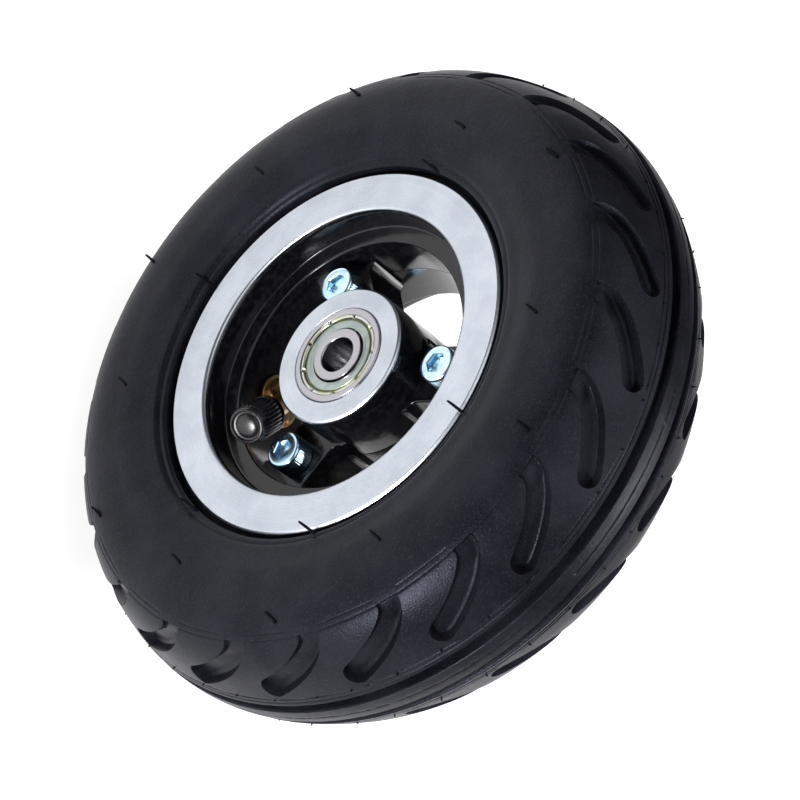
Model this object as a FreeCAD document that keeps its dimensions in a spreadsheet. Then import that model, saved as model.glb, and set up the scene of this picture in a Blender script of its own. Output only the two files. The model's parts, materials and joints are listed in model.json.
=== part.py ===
import FreeCAD, Part
import math
import os
import Sketcher
from FreeCAD import Placement, Rotation, Vector

# A pneumatic scooter wheel: a tyre and tube on a rim that is bolted together from two cast halves, turning on two
# shielded ball bearings about +Y. The origin is the wheel's centre and the front face looks towards -Y.

doc = FreeCAD.newDocument("scooter_wheel")
sheet = doc.addObject("Spreadsheet::Sheet", "sizes")
subparts = []

# How near, in mm, a measure has to be to count as equal, and how far round a radius an edge may lie.
EQUAL = 0.01
CLOSE = 0.02
AROUND = 0.5


class Size:
    """A number together with the spreadsheet expression that gives it."""

    def __init__(self, value, text):
        self.value = value
        self.text = text

    def __add__(self, other):
        return joined(self, "+", other, self.value + number(other))

    def __sub__(self, other):
        return joined(self, "-", other, self.value - number(other))

    def __mul__(self, other):
        return joined(self, "*", other, self.value * number(other))

    def __truediv__(self, other):
        return joined(self, "/", other, self.value / number(other))

    def __neg__(self):
        return Size(-self.value, "(0 - " + self.text + ")")


def number(size):
    return size.value if isinstance(size, Size) else float(size)


def words(size):
    return size.text if isinstance(size, Size) else repr(float(size))


def joined(first, sign, second, value):
    return Size(value, "(" + words(first) + " " + sign + " " + words(second) + ")")


class Sizes:
    """The driving dimensions, each one a named cell of the sheet."""

    def __init__(self):
        self.row = 0

    def add(self, **cells):
        for name, value in cells.items():
            self.row += 1
            sheet.set("A%d" % self.row, name)
            sheet.set("B%d" % self.row, str(value))
            sheet.setAlias("B%d" % self.row, name)
            setattr(self, name, Size(float(value), "sizes." + name))


dim = Sizes()

# Angles are in degrees, counted in the XZ plane from +X towards +Z. Lengths are in millimetres.
dim.add(first_bolt_angle=78.4, bolt_count=3, bolt_circle_radius=23.0, valve_angle=265.0)

# Rim halves, measured along the radius and outwards along the axle from the joint between them.
dim.add(lip_radius=42.5, lip_face=18.75, lip_bevel=0.6, lip_thickness=2.4, lip_inner_radius=34.0)
dim.add(mouth_radius=33.15, mouth_depth=1.4, barrel_radius=33.0, step_face=12.0)
dim.add(well_radius=29.0, well_wall=3.2)
dim.add(lip_roll=0.35, bead_seat_radius=36.0, bead_seat_inner=9.5, bead_seat_rise=0.4, well_edge=7.0)
dim.add(flange_foot=38.2, flange_draft=0.3, seat_corner=2.0)
dim.add(hub_radius=15.9, hub_face=15.5, hub_chamfer=0.5, hub_bore_radius=9.5)
dim.add(spoke_width=13.0, spoke_thickness=6.0, spoke_fillet=2.4, spoke_edge=0.35)
dim.add(bolt_hole_radius=2.7, valve_hole_radius=4.2)

# Tyre and inner tube.
dim.add(tyre_radius=75.0, tyre_half_width=23.25, widest_radius=58.0, crown_half_width=9.0)
dim.add(shoulder_radius=69.0, shoulder_half_width=19.4)
dim.add(bead_top_radius=43.3, bead_top_half_width=19.2, bead_gap=0.35)
dim.add(tread_thickness=6.5, sidewall_thickness=3.6, bead_toe=9.9, bead_height=5.0)
dim.add(bead_slope=1.4, bead_fit=0.1)
dim.add(crown_fillet=5.0, shoulder_fillet=9.0, widest_fillet=12.0)
dim.add(groove_offset=4.2, groove_width=3.0, groove_depth=1.8)
dim.add(tube_gap=0.15, tube_wall=1.4, tube_hole_radius=1.5, tube_crown_half_width=8.5, tube_bead_radius=41.5)
dim.add(tube_bead_half_width=10.9, tube_seat_radius=38.0, tube_seat_half_width=9.6, tube_floor_radius=34.0)
dim.add(tube_floor_half_width=5.6)

# 608 bearing: 8 bore, 22 outside, 7 wide, seven balls.
dim.add(bearing_bore_radius=4.0, bearing_outer_radius=11.0, bearing_width=7.0, bearing_face=15.75)
dim.add(race_inner_radius=6.05, race_outer_radius=9.35, pitch_radius=7.5)
dim.add(ball_radius=1.9845, ball_clearance=0.045, ball_count=7, ring_chamfer=0.3)
dim.add(shield_seat_radius=9.75, shield_seat_depth=0.7, shield_thickness=0.24)
dim.add(shield_bore_radius=6.4, shield_depth=0.45, shield_rim=0.5, shield_slope=0.2)
dim.add(cage_half_thickness=0.5, cage_half_width=2.5)
dim.add(spacer_outer_radius=5.6)

# M5 socket head screws and nuts.
dim.add(screw_radius=2.5, screw_length=16.0, head_radius=4.25, head_height=5.0, head_chamfer=0.5)
dim.add(socket_width=4.0, socket_depth=2.6, nut_width=8.0, nut_height=4.0, nut_bore_radius=2.52)

# Bent valve. Heights along the cap's end are counted from the bend's corner, bend_corner from the axle.
dim.add(bend_corner=24.1, bend_angle=77.2, valve_twist=41.4, bend_radius=2.7)
dim.add(stem_radius=2.45, stem_bore_radius=0.9, thread_radius=3.85, thread_start=13.2, stem_top=23.0)
dim.add(core_chamber_radius=1.75, core_chamber_start=9.6)
dim.add(washer_radius=6.0, washer_thickness=0.6, washer_seat=28.3, valve_nut_width=9.0, valve_nut_height=1.4)
dim.add(leg_end=33.85, base_radius=6.6, fit_gap=0.05)
dim.add(core_radius=1.7, core_start=12.0, core_top=22.5, core_wall=0.9, core_bore_radius=1.15, pin_radius=0.4)
dim.add(pin_guide_radius=0.5, pin_top=22.9, pin_root=0.2, poppet_radius=1.1, poppet_height=0.7)
dim.add(collar_radius=1.0, collar_start=19.6, collar_height=0.5)
dim.add(spring_radius=0.75, spring_wire_radius=0.13, spring_turns=7)
dim.add(cap_radius=4.3, cap_start=14.2, cap_top=25.1, cap_bore_radius=3.9, cap_edge=0.5, seal_thickness=0.5)

# How far a cut runs past the face that it opens.
dim.add(overrun=1.0)


def bind(thing, prop, size):
    thing.setExpression(prop, words(size))


def new_body(label):
    body = doc.addObject("PartDesign::Body", label)
    body.Label = label
    return body


def keep(thing):
    """Marks a document object as a finished sub-part, whose Label names its file."""
    subparts.append(thing)
    return thing


def origin_feature(body, role):
    return [f for f in body.Origin.OriginFeatures if f.Role == role][0]


def new_sketch(body, name, plane):
    sketch = body.newObject("Sketcher::SketchObject", name)
    sketch.AttachmentSupport = (origin_feature(body, plane), "")
    sketch.MapMode = "FlatFace"
    return sketch


def fix_coordinate(sketch, kind, axis, item, point, size):
    """Ties one coordinate of a sketch point to a sheet expression, counted from the sketch's origin."""
    origin = (-1, 1)
    if abs(number(size)) < 1e-9:
        sketch.addConstraint(Sketcher.Constraint("PointOnObject", item, point, axis))
        return
    positive = number(size) > 0
    ends = origin + (item, point) if positive else (item, point) + origin
    length = size if positive else -as_size(size)
    index = sketch.addConstraint(Sketcher.Constraint(kind, *ends, number(length)))
    bind(sketch, "Constraints[%d]" % index, length)


def as_size(size):
    return size if isinstance(size, Size) else Size(float(size), repr(float(size)))


def fix_point(sketch, item, point, across, up):
    vertical_axis = -2
    horizontal_axis = -1
    fix_coordinate(sketch, "DistanceX", vertical_axis, item, point, across)
    fix_coordinate(sketch, "DistanceY", horizontal_axis, item, point, up)


def add_outline(sketch, corners):
    """A closed outline of straight lines through the corners, each fixed by its two coordinates."""
    points = [Vector(number(across), number(up), 0) for across, up in corners]
    lines = []
    for start, end in zip(points, points[1:] + points[:1]):
        lines.append(sketch.addGeometry(Part.LineSegment(start, end), False))
    for line, following in zip(lines, lines[1:] + lines[:1]):
        sketch.addConstraint(Sketcher.Constraint("Coincident", line, 2, following, 1))
    for line, corner in zip(lines, corners):
        fix_point(sketch, line, 1, *corner)


def add_circle(sketch, across, up, radius):
    centre = Vector(number(across), number(up), 0)
    circle = sketch.addGeometry(Part.Circle(centre, Vector(0, 0, 1), number(radius)), False)
    fix_point(sketch, circle, 3, across, up)
    index = sketch.addConstraint(Sketcher.Constraint("Radius", circle, number(radius)))
    bind(sketch, "Constraints[%d]" % index, radius)


def turned(body, name, corners, cut=False):
    """A solid of revolution about Y, or a turned cut, from an outline of (radius, height along Y) corners."""
    sketch = new_sketch(body, name + "_outline", "XY_Plane")
    add_outline(sketch, corners)
    feature = body.newObject("PartDesign::Groove" if cut else "PartDesign::Revolution", name)
    feature.Profile = sketch
    feature.ReferenceAxis = (sketch, ["V_Axis"])
    feature.Angle = 360.0
    body.Tip = feature
    return feature


def turned_groove(body, name, across, up, radius):
    """A round-bottomed groove turned about Y."""
    sketch = new_sketch(body, name + "_outline", "XY_Plane")
    add_circle(sketch, across, up, radius)
    feature = body.newObject("PartDesign::Groove", name)
    feature.Profile = sketch
    feature.ReferenceAxis = (sketch, ["V_Axis"])
    feature.Angle = 360.0
    body.Tip = feature
    return feature


def patterned(body, name, feature, count):
    """The feature repeated evenly about the Y axis."""
    pattern = body.newObject("PartDesign::PolarPattern", name)
    pattern.Originals = [feature]
    pattern.Axis = (origin_feature(body, "Y_Axis"), [""])
    pattern.Angle = 360.0
    bind(pattern, "Occurrences", count)
    body.Tip = pattern
    return pattern


def edge_names(feature, wanted):
    return ["Edge%d" % (i + 1) for i, edge in enumerate(feature.Shape.Edges) if wanted(edge)]


def dressed(body, kind, name, wanted, prop, size):
    """A Fillet or Chamfer on the tip's edges that the test picks out."""
    doc.recompute()
    base = body.Tip
    feature = body.newObject("PartDesign::" + kind, name)
    feature.Base = (base, edge_names(base, wanted))
    bind(feature, prop, size)
    body.Tip = feature
    return feature


def circle_edge_at(radius, height):
    """A test for round edges about Y of the given radius and height."""

    def wanted(edge):
        curve = edge.Curve
        if not isinstance(curve, Part.Circle):
            return False
        on_axle = abs(curve.Center.x) < EQUAL and abs(curve.Center.z) < EQUAL
        right_size = abs(curve.Radius - number(radius)) < CLOSE
        return on_axle and right_size and abs(curve.Center.y - number(height)) < CLOSE

    return wanted


def straight_edge_along_y(low_radius, high_radius):
    """A test for straight edges parallel to Y whose distance from the axle lies between two radii."""

    def wanted(edge):
        start, end = edge.Vertexes[0].Point, edge.Vertexes[-1].Point
        along_y = abs(start.x - end.x) < EQUAL and abs(start.z - end.z) < EQUAL
        whole = abs(start.y - end.y) > AROUND
        return along_y and whole and number(low_radius) < math.hypot(start.x, start.z) < number(high_radius)

    return wanted


def radial(angle, radius, height=0.0):
    """The point at an angle and radius about the axle."""
    turn = math.radians(angle)
    return Vector(radius * math.cos(turn), height, radius * math.sin(turn))


def about_axle(angle):
    """A turn about the axle that carries +X to the given angle."""
    return Rotation(Vector(0, 1, 0), -angle)


# Rim halves ---------------------------------------------------------------------------------------


def rim_half(label, faces_front):
    """One cast half: lip, bead seat and well in one turned wall, a hub, and three spokes with screw holes.

    The half is made on the +Y side with its first spoke along +X, then turned into place."""
    body = new_body(label)
    spoke = new_sketch(body, "spoke_section", "YZ_Plane")
    add_outline(spoke, spoke_section())
    pad = body.newObject("PartDesign::Pad", "spoke")
    pad.Profile = spoke
    bind(pad, "Length", dim.well_radius + dim.well_wall / 2)
    patterned(body, "spokes", pad, dim.bolt_count)
    turned(body, "hub", hub_outline())
    turned(body, "hub_bore", hub_bore_outline(), cut=True)
    turned(body, "wall", wall_outline())
    spoke_finish(body)
    screw_holes(body)
    valve_notch(body, faces_front)
    turn = about_axle(dim.first_bolt_angle.value)
    flip = Rotation(Vector(1, 0, 0), 180) if faces_front else Rotation()
    body.Placement = Placement(Vector(0, 0, 0), turn * flip)
    return keep(body)


def spoke_section():
    """The spoke's cross-section as (height along Y, width along Z) corners, with broken front edges."""
    side, face, edge = dim.spoke_width / 2, dim.spoke_thickness, dim.spoke_edge
    half = [(0, side), (face - edge, side), (face, side - edge)]
    return half + [(height, -width) for height, width in half[::-1]]


def hub_outline():
    top = dim.hub_face
    shoulder = dim.hub_radius - dim.hub_chamfer
    return [(0, 0), (dim.hub_radius, 0), (dim.hub_radius, top - dim.hub_chamfer), (shoulder, top), (0, top)]


def hub_bore_outline():
    seat = dim.bearing_face - dim.bearing_width
    over = dim.hub_face + dim.overrun
    ring = dim.bearing_outer_radius
    bore = dim.hub_bore_radius
    under = -dim.overrun
    return [(0, under), (bore, under), (bore, seat), (ring, seat), (ring, over), (0, over)]


def wall_outline():
    well_outside = dim.well_radius + dim.well_wall
    flange_back = dim.lip_face - dim.lip_thickness
    return [
        (dim.well_radius, 0),
        (dim.well_radius, dim.step_face),
        (dim.barrel_radius, dim.step_face),
        (dim.mouth_radius, dim.lip_face - dim.mouth_depth),
        (dim.lip_inner_radius - dim.lip_roll, dim.lip_face - dim.lip_roll),
        (dim.lip_inner_radius + dim.lip_roll, dim.lip_face),
        (dim.lip_radius - dim.lip_bevel, dim.lip_face),
        (dim.lip_radius, dim.lip_face - dim.lip_bevel),
        (dim.lip_radius, flange_back),
        (dim.flange_foot, flange_back - dim.flange_draft),
        (dim.bead_seat_radius + dim.bead_seat_rise, flange_back - dim.seat_corner),
        (dim.bead_seat_radius, dim.bead_seat_inner),
        (well_outside, dim.well_edge),
        (well_outside, 0),
    ]


def spoke_finish(body):
    """Rounds the spokes into the hub and the well."""
    corners = straight_edge_along_y(dim.hub_radius - AROUND, dim.well_radius + AROUND)
    dressed(body, "Fillet", "spoke_roots", corners, "Radius", dim.spoke_fillet)


def screw_holes(body):
    sketch = new_sketch(body, "screw_hole_outline", "XZ_Plane")
    add_circle(sketch, dim.bolt_circle_radius, 0, dim.bolt_hole_radius)
    hole = body.newObject("PartDesign::Pocket", "screw_hole")
    hole.Profile = sketch
    hole.Midplane = True
    bind(hole, "Length", dim.spoke_thickness * 3)
    patterned(body, "screw_holes", hole, dim.bolt_count)


def valve_notch(body, faces_front):
    """Half of the valve's hole, which the two halves share across their joint."""
    away = dim.valve_angle.value - dim.first_bolt_angle.value
    angle = -away if faces_front else away
    cutter = body.newObject("PartDesign::SubtractiveCylinder", "valve_notch")
    bind(cutter, "Radius", dim.valve_hole_radius)
    bind(cutter, "Height", dim.well_wall * 3)
    start = radial(angle, dim.well_radius.value - dim.well_wall.value)
    cutter.Placement = Placement(start, about_axle(angle) * Rotation(Vector(0, 1, 0), 90))
    body.Tip = cutter


# Tyre and tube ------------------------------------------------------------------------------------


def both_sides(outline):
    """An outline given from the middle of the tread outwards, followed by its mirror image."""
    mirrored = [(across, -as_size(up)) for across, up in outline if number(up) != 0]
    return outline + mirrored[::-1]


def tyre():
    """The casing with its two bead feet on the rim's seats and two grooves beside the centre rib."""
    body = new_body("tyre")
    flange_back = dim.lip_face - dim.lip_thickness
    near = dim.groove_offset - dim.groove_width / 2
    far = dim.groove_offset + dim.groove_width / 2
    floor = dim.tyre_radius - dim.groove_depth
    gap = dim.bead_fit
    seat = dim.bead_seat_radius + dim.bead_seat_rise + gap
    inner_widest = dim.tyre_half_width - dim.sidewall_thickness
    outer = [
        (dim.tyre_radius, near),
        (floor, near),
        (floor, far),
        (dim.tyre_radius, far),
        (dim.tyre_radius, dim.crown_half_width),
        (dim.shoulder_radius, dim.shoulder_half_width),
        (dim.widest_radius, dim.tyre_half_width),
        (dim.bead_top_radius + dim.bead_gap, dim.bead_top_half_width),
        (dim.bead_top_radius + dim.bead_gap, flange_back - gap / 2),
        (dim.flange_foot + gap * 2, flange_back - dim.flange_draft - gap * 1.5),
        (seat, flange_back - dim.seat_corner - gap),
    ]
    inner = [
        (seat, dim.bead_toe),
        (seat + dim.bead_height, dim.bead_toe + dim.bead_slope),
        (dim.widest_radius, inner_widest),
        (dim.tyre_radius - dim.tread_thickness, dim.crown_half_width),
    ]
    turned(body, "casing", both_sides(outer + inner))
    for name, radius, height, fillet in (
        ("shoulders", dim.shoulder_radius, dim.shoulder_half_width, dim.shoulder_fillet),
        ("sidewalls", dim.widest_radius, dim.tyre_half_width, dim.widest_fillet),
        ("crown", dim.tyre_radius, dim.crown_half_width, dim.crown_fillet),
    ):
        right, left = circle_edge_at(radius, height), circle_edge_at(radius, -height)
        dressed(body, "Fillet", name, lambda edge, r=right, l=left: r(edge) or l(edge), "Radius", fillet)
    return keep(body)


def inner_tube():
    """A thin ring that fills the space between the tyre and the well, with a hole under the valve."""
    body = new_body("inner_tube")
    gap = dim.tube_gap
    top = dim.tyre_radius - dim.tread_thickness - gap
    widest = dim.tyre_half_width - dim.sidewall_thickness - gap * 1.5
    outer = [
        (top, dim.tube_crown_half_width),
        (dim.widest_radius, widest),
        (dim.tube_bead_radius, dim.tube_bead_half_width),
        (dim.tube_seat_radius, dim.tube_seat_half_width),
        (dim.tube_floor_radius, dim.tube_floor_half_width),
    ]
    wall = dim.tube_wall
    inner = [
        (top - wall, dim.tube_crown_half_width - wall / 2),
        (dim.widest_radius, widest - wall),
        (dim.tube_bead_radius + wall / 2, dim.tube_bead_half_width - wall),
        (dim.tube_seat_radius + wall / 2, dim.tube_seat_half_width - wall),
        (dim.tube_floor_radius + wall, dim.tube_floor_half_width - wall / 2),
    ]
    turned(body, "ring", both_sides(outer))
    turned(body, "air_space", both_sides(inner), cut=True)
    cutter = body.newObject("PartDesign::SubtractiveCylinder", "valve_hole")
    bind(cutter, "Radius", dim.tube_hole_radius)
    bind(cutter, "Height", dim.tube_wall * 3)
    angle = dim.valve_angle.value
    cutter.Placement = Placement(
        radial(angle, dim.tube_floor_radius.value - dim.tube_wall.value),
        about_axle(angle) * Rotation(Vector(0, 1, 0), 90),
    )
    body.Tip = cutter
    return keep(body)


# Bearings -----------------------------------------------------------------------------------------


def bearing_place(faces_front):
    """Carries a bearing piece, made with its outer side at the greater height, to its seat."""
    flip = Rotation(Vector(1, 0, 0), 180) if faces_front else Rotation()
    return Placement(Vector(0, 0, 0), flip)


def bearing_outer_ring(label, faces_front):
    body = new_body(label)
    top, low = dim.bearing_face, dim.bearing_face - dim.bearing_width
    edge, outside = dim.ring_chamfer, dim.bearing_outer_radius
    seat, depth, race = dim.shield_seat_radius, dim.shield_seat_depth, dim.race_outer_radius
    outline = [
        (seat, low),
        (outside - edge, low),
        (outside, low + edge),
        (outside, top - edge),
        (outside - edge, top),
        (seat, top),
        (seat, top - depth),
        (race, top - depth),
        (race, low + depth),
        (seat, low + depth),
    ]
    turned(body, "ring", outline)
    race_groove(body)
    body.Placement = bearing_place(faces_front)
    return keep(body)


def bearing_inner_ring(label, faces_front):
    body = new_body(label)
    top, low = dim.bearing_face, dim.bearing_face - dim.bearing_width
    edge, bore, race = dim.ring_chamfer, dim.bearing_bore_radius, dim.race_inner_radius
    outline = [
        (bore, low),
        (race, low),
        (race, top),
        (bore + edge, top),
        (bore, top - edge),
    ]
    turned(body, "ring", outline)
    race_groove(body)
    body.Placement = bearing_place(faces_front)
    return keep(body)


def race_groove(body):
    middle = dim.bearing_face - dim.bearing_width / 2
    turned_groove(body, "ball_race", dim.pitch_radius, middle, dim.ball_radius + dim.ball_clearance)


def bearing_shield(label, faces_front, on_outside):
    """A pressed shield whose rolled rim sits in the outer ring."""
    body = new_body(label)
    top, low = dim.bearing_face, dim.bearing_face - dim.bearing_width
    near = dim.shield_depth - dim.shield_thickness
    far = dim.shield_depth
    rim_inside = dim.shield_seat_radius - dim.shield_rim
    outline = [
        (dim.shield_bore_radius, far),
        (rim_inside - dim.shield_slope, far),
        (rim_inside, near),
        (dim.shield_seat_radius, near),
        (dim.shield_seat_radius, dim.shield_seat_depth),
        (dim.shield_bore_radius, dim.shield_seat_depth),
    ]
    placed = [(across, top - depth if on_outside else low + depth) for across, depth in outline]
    turned(body, "disc", placed)
    body.Placement = bearing_place(faces_front)
    return keep(body)


def ball_centres(faces_front):
    """The centres of the balls of one bearing, evenly spaced on the pitch circle."""
    middle = dim.bearing_face.value - dim.bearing_width.value / 2
    height = -middle if faces_front else middle
    count = int(dim.ball_count.value)
    return [radial(360.0 * ball / count, dim.pitch_radius.value, height) for ball in range(count)]


def sphere(name, radius, centre):
    ball = doc.addObject("Part::Sphere", name)
    bind(ball, "Radius", radius)
    ball.Placement = Placement(centre, Rotation())
    return ball


def bearing_balls(label, faces_front):
    balls = doc.addObject("Part::Compound", label)
    balls.Label = label
    balls.Links = [sphere(label + "_ball", dim.ball_radius, centre) for centre in ball_centres(faces_front)]
    return keep(balls)


def cage_pocket(name, centre):
    """A round hole drilled along the radius through the cage, around one ball."""
    pocket = doc.addObject("Part::Cylinder", name)
    bind(pocket, "Radius", dim.ball_radius + dim.ball_clearance)
    bind(pocket, "Height", dim.cage_half_thickness * 4)
    outwards = Vector(centre.x, 0, centre.z).normalize()
    start = centre - outwards * dim.cage_half_thickness.value * 2
    pocket.Placement = Placement(start, Rotation(Vector(0, 0, 1), outwards))
    return pocket


def bearing_cage(label, faces_front):
    """A ring with a round pocket for each ball."""
    middle = dim.bearing_face - dim.bearing_width / 2
    height = -middle if faces_front else middle
    upright = Rotation(Vector(1, 0, 0), -90)
    solids = []
    for name, radius in (("outside", dim.pitch_radius + dim.cage_half_thickness),
                         ("inside", dim.pitch_radius - dim.cage_half_thickness)):
        cylinder = doc.addObject("Part::Cylinder", label + "_" + name)
        bind(cylinder, "Radius", radius)
        bind(cylinder, "Height", dim.cage_half_width * 2)
        base = Vector(0, height.value - dim.cage_half_width.value, 0)
        cylinder.Placement = Placement(base, upright)
        solids.append(cylinder)
    ring = doc.addObject("Part::Cut", label + "_ring")
    ring.Base, ring.Tool = solids
    pockets = doc.addObject("Part::Compound", label + "_pockets")
    pockets.Links = [cage_pocket(label + "_pocket", centre) for centre in ball_centres(faces_front)]
    cage = doc.addObject("Part::Cut", label)
    cage.Label = label
    cage.Base, cage.Tool = ring, pockets
    return keep(cage)


def bearing(side, faces_front):
    bearing_outer_ring(side + "_bearing_outer_ring", faces_front)
    bearing_inner_ring(side + "_bearing_inner_ring", faces_front)
    bearing_shield(side + "_bearing_outside_shield", faces_front, True)
    bearing_shield(side + "_bearing_inside_shield", faces_front, False)
    bearing_cage(side + "_bearing_cage", faces_front)
    bearing_balls(side + "_bearing_balls", faces_front)


def bearing_spacer():
    """The sleeve that keeps the two inner rings apart."""
    body = new_body("bearing_spacer")
    end = dim.bearing_face - dim.bearing_width
    bore, outside = dim.bearing_bore_radius, dim.spacer_outer_radius
    turned(body, "sleeve", [(bore, -end), (outside, -end), (outside, end), (bore, end)])
    return keep(body)


# Fasteners ----------------------------------------------------------------------------------------


def cylinder_in(body, kind, name, radius, height, base):
    """A cylinder along Z added to or cut from a body, from the given height up."""
    feature = body.newObject("PartDesign::" + kind + "Cylinder", name)
    bind(feature, "Radius", radius)
    bind(feature, "Height", height)
    bind(feature, "Placement.Base.z", base)
    body.Tip = feature
    return feature


def prism_in(body, kind, name, width, height, base):
    """A hexagonal prism along Z of the given width across its flats."""
    feature = body.newObject("PartDesign::" + kind + "Prism", name)
    feature.Polygon = 6
    bind(feature, "Circumradius", width / math.sqrt(3))
    bind(feature, "Height", height)
    bind(feature, "Placement.Base.z", base)
    body.Tip = feature
    return feature


def end_edge(radius, height):
    """A test for the round edge about Z of the given radius and height."""

    def wanted(edge):
        curve = edge.Curve
        if not isinstance(curve, Part.Circle):
            return False
        return abs(curve.Radius - number(radius)) < CLOSE and abs(curve.Center.z - number(height)) < CLOSE

    return wanted


def screw_pattern(label, one, seat):
    """Copies of one fastener, made along Z, set along Y around the bolt circle."""
    along_axle = Rotation(Vector(1, 0, 0), -90)
    copies = []
    for number_of_turns in range(int(dim.bolt_count.value)):
        angle = dim.first_bolt_angle.value + 360.0 / dim.bolt_count.value * number_of_turns
        copy = one.Shape.copy()
        middle = radial(angle, dim.bolt_circle_radius.value, seat)
        copy.Placement = Placement(middle, about_axle(angle) * along_axle)
        copies.append(copy)
    group = doc.addObject("Part::Feature", label)
    group.Label = label
    group.Shape = Part.makeCompound(copies)
    return keep(group)


def rim_screws():
    """Socket head screws through both halves, their heads on the front spokes."""
    body = new_body("one_screw")
    cylinder_in(body, "Additive", "head", dim.head_radius, dim.head_height, -dim.head_height)
    cylinder_in(body, "Additive", "shank", dim.screw_radius, dim.screw_length, as_size(0))
    prism_in(body, "Subtractive", "socket", dim.socket_width, dim.socket_depth, -dim.head_height)
    head_end = end_edge(dim.head_radius, -dim.head_height)
    tip_end = end_edge(dim.screw_radius, dim.screw_length)
    dressed(body, "Chamfer", "head_edge", head_end, "Size", dim.head_chamfer)
    dressed(body, "Chamfer", "tip_edge", tip_end, "Size", dim.head_chamfer)
    doc.recompute()
    return screw_pattern("rim_screws", body, -dim.spoke_thickness.value)


def rim_nuts():
    """Hexagon nuts on the rear spokes."""
    body = new_body("one_nut")
    prism_in(body, "Additive", "hexagon", dim.nut_width, dim.nut_height, as_size(0))
    cylinder_in(body, "Subtractive", "thread", dim.nut_bore_radius, dim.nut_height, as_size(0))
    doc.recompute()
    return screw_pattern("rim_nuts", body, dim.spoke_thickness.value)


# Valve --------------------------------------------------------------------------------------------


def valve_directions():
    """Unit vectors at the valve: outwards from the axle, and along the bent end towards the cap."""
    outwards = radial(dim.valve_angle.value, 1.0)
    tangent = radial(dim.valve_angle.value + 90, 1.0)
    bend = math.radians(dim.bend_angle.value)
    twist = math.radians(dim.valve_twist.value)
    sideways = tangent * math.sin(twist) + Vector(0, -1, 0) * math.cos(twist)
    end = outwards * -math.cos(bend) + sideways * math.sin(bend)
    return outwards, end


def bend_place():
    """The frame of the bent end: origin at the bend's corner, +Z towards the cap, straight leg in XZ."""
    outwards, end = valve_directions()
    across = outwards - end * outwards.dot(end)
    across.normalize()
    turn = Rotation(across, end.cross(across), end, "ZXY")
    return Placement(outwards * dim.bend_corner.value, turn)


def leg_place():
    """The frame of the straight leg: its origin on the axle, +Z outwards along the leg."""
    return Placement(Vector(0, 0, 0), about_axle(dim.valve_angle.value) * Rotation(Vector(0, 1, 0), 90))


def valve_route():
    """The stem's centre line in the bent end's frame: straight leg, tangent arc, straight end."""
    bend = math.radians(dim.bend_angle.value)
    leg = Vector(math.sin(bend), 0, -math.cos(bend))
    reach = dim.bend_radius.value * math.tan(bend / 2)
    start, arc_start = leg * (dim.leg_end.value - dim.bend_corner.value), leg * reach
    arc_end = Vector(0, 0, reach)
    centre = Vector(dim.bend_radius.value, 0, reach)
    towards_corner = centre.negative()
    towards_corner.normalize()
    arc_middle = centre + towards_corner * dim.bend_radius.value
    end = Vector(0, 0, dim.thread_start.value + dim.overrun.value)
    return start, arc_start, arc_middle, arc_end, end


def stem_pipe(radius):
    start, arc_start, arc_middle, arc_end, end = valve_route()
    edges = [
        Part.makeLine(start, arc_start),
        Part.Arc(arc_start, arc_middle, arc_end).toShape(),
        Part.makeLine(arc_end, end),
    ]
    path = Part.Wire(edges)
    profile = Part.Wire([Part.makeCircle(radius, start, arc_start - start)])
    return path.makePipeShell([profile], True, True)


def valve_stem():
    """The bent brass stem, its threaded end and the chamber that holds the core."""
    chamber, top = dim.core_chamber_start.value, dim.stem_top.value
    thread = Part.makeCylinder(dim.thread_radius.value, top - dim.thread_start.value,
                               Vector(0, 0, dim.thread_start.value))
    chamber_space = Part.makeCylinder(dim.core_chamber_radius.value, top - chamber, Vector(0, 0, chamber))
    outside = stem_pipe(dim.stem_radius.value).fuse(thread)
    stem = doc.addObject("Part::Feature", "valve_stem")
    stem.Label = "valve_stem"
    stem.Shape = outside.cut(stem_pipe(dim.stem_bore_radius.value)).cut(chamber_space).removeSplitter()
    stem.Placement = bend_place()
    return keep(stem)


def on_leg(body):
    body.Placement = leg_place()
    return keep(body)


def valve_washer():
    body = new_body("valve_washer")
    base = dim.washer_seat - dim.washer_thickness
    cylinder_in(body, "Additive", "disc", dim.washer_radius, dim.washer_thickness, base)
    cylinder_in(body, "Subtractive", "hole", dim.stem_radius + dim.fit_gap, dim.washer_thickness, base)
    return on_leg(body)


def valve_nut():
    body = new_body("valve_nut")
    base = dim.washer_seat - dim.washer_thickness - dim.valve_nut_height
    prism_in(body, "Additive", "hexagon", dim.valve_nut_width, dim.valve_nut_height, base)
    cylinder_in(body, "Subtractive", "thread", dim.stem_radius + dim.fit_gap, dim.valve_nut_height, base)
    return on_leg(body)


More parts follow.
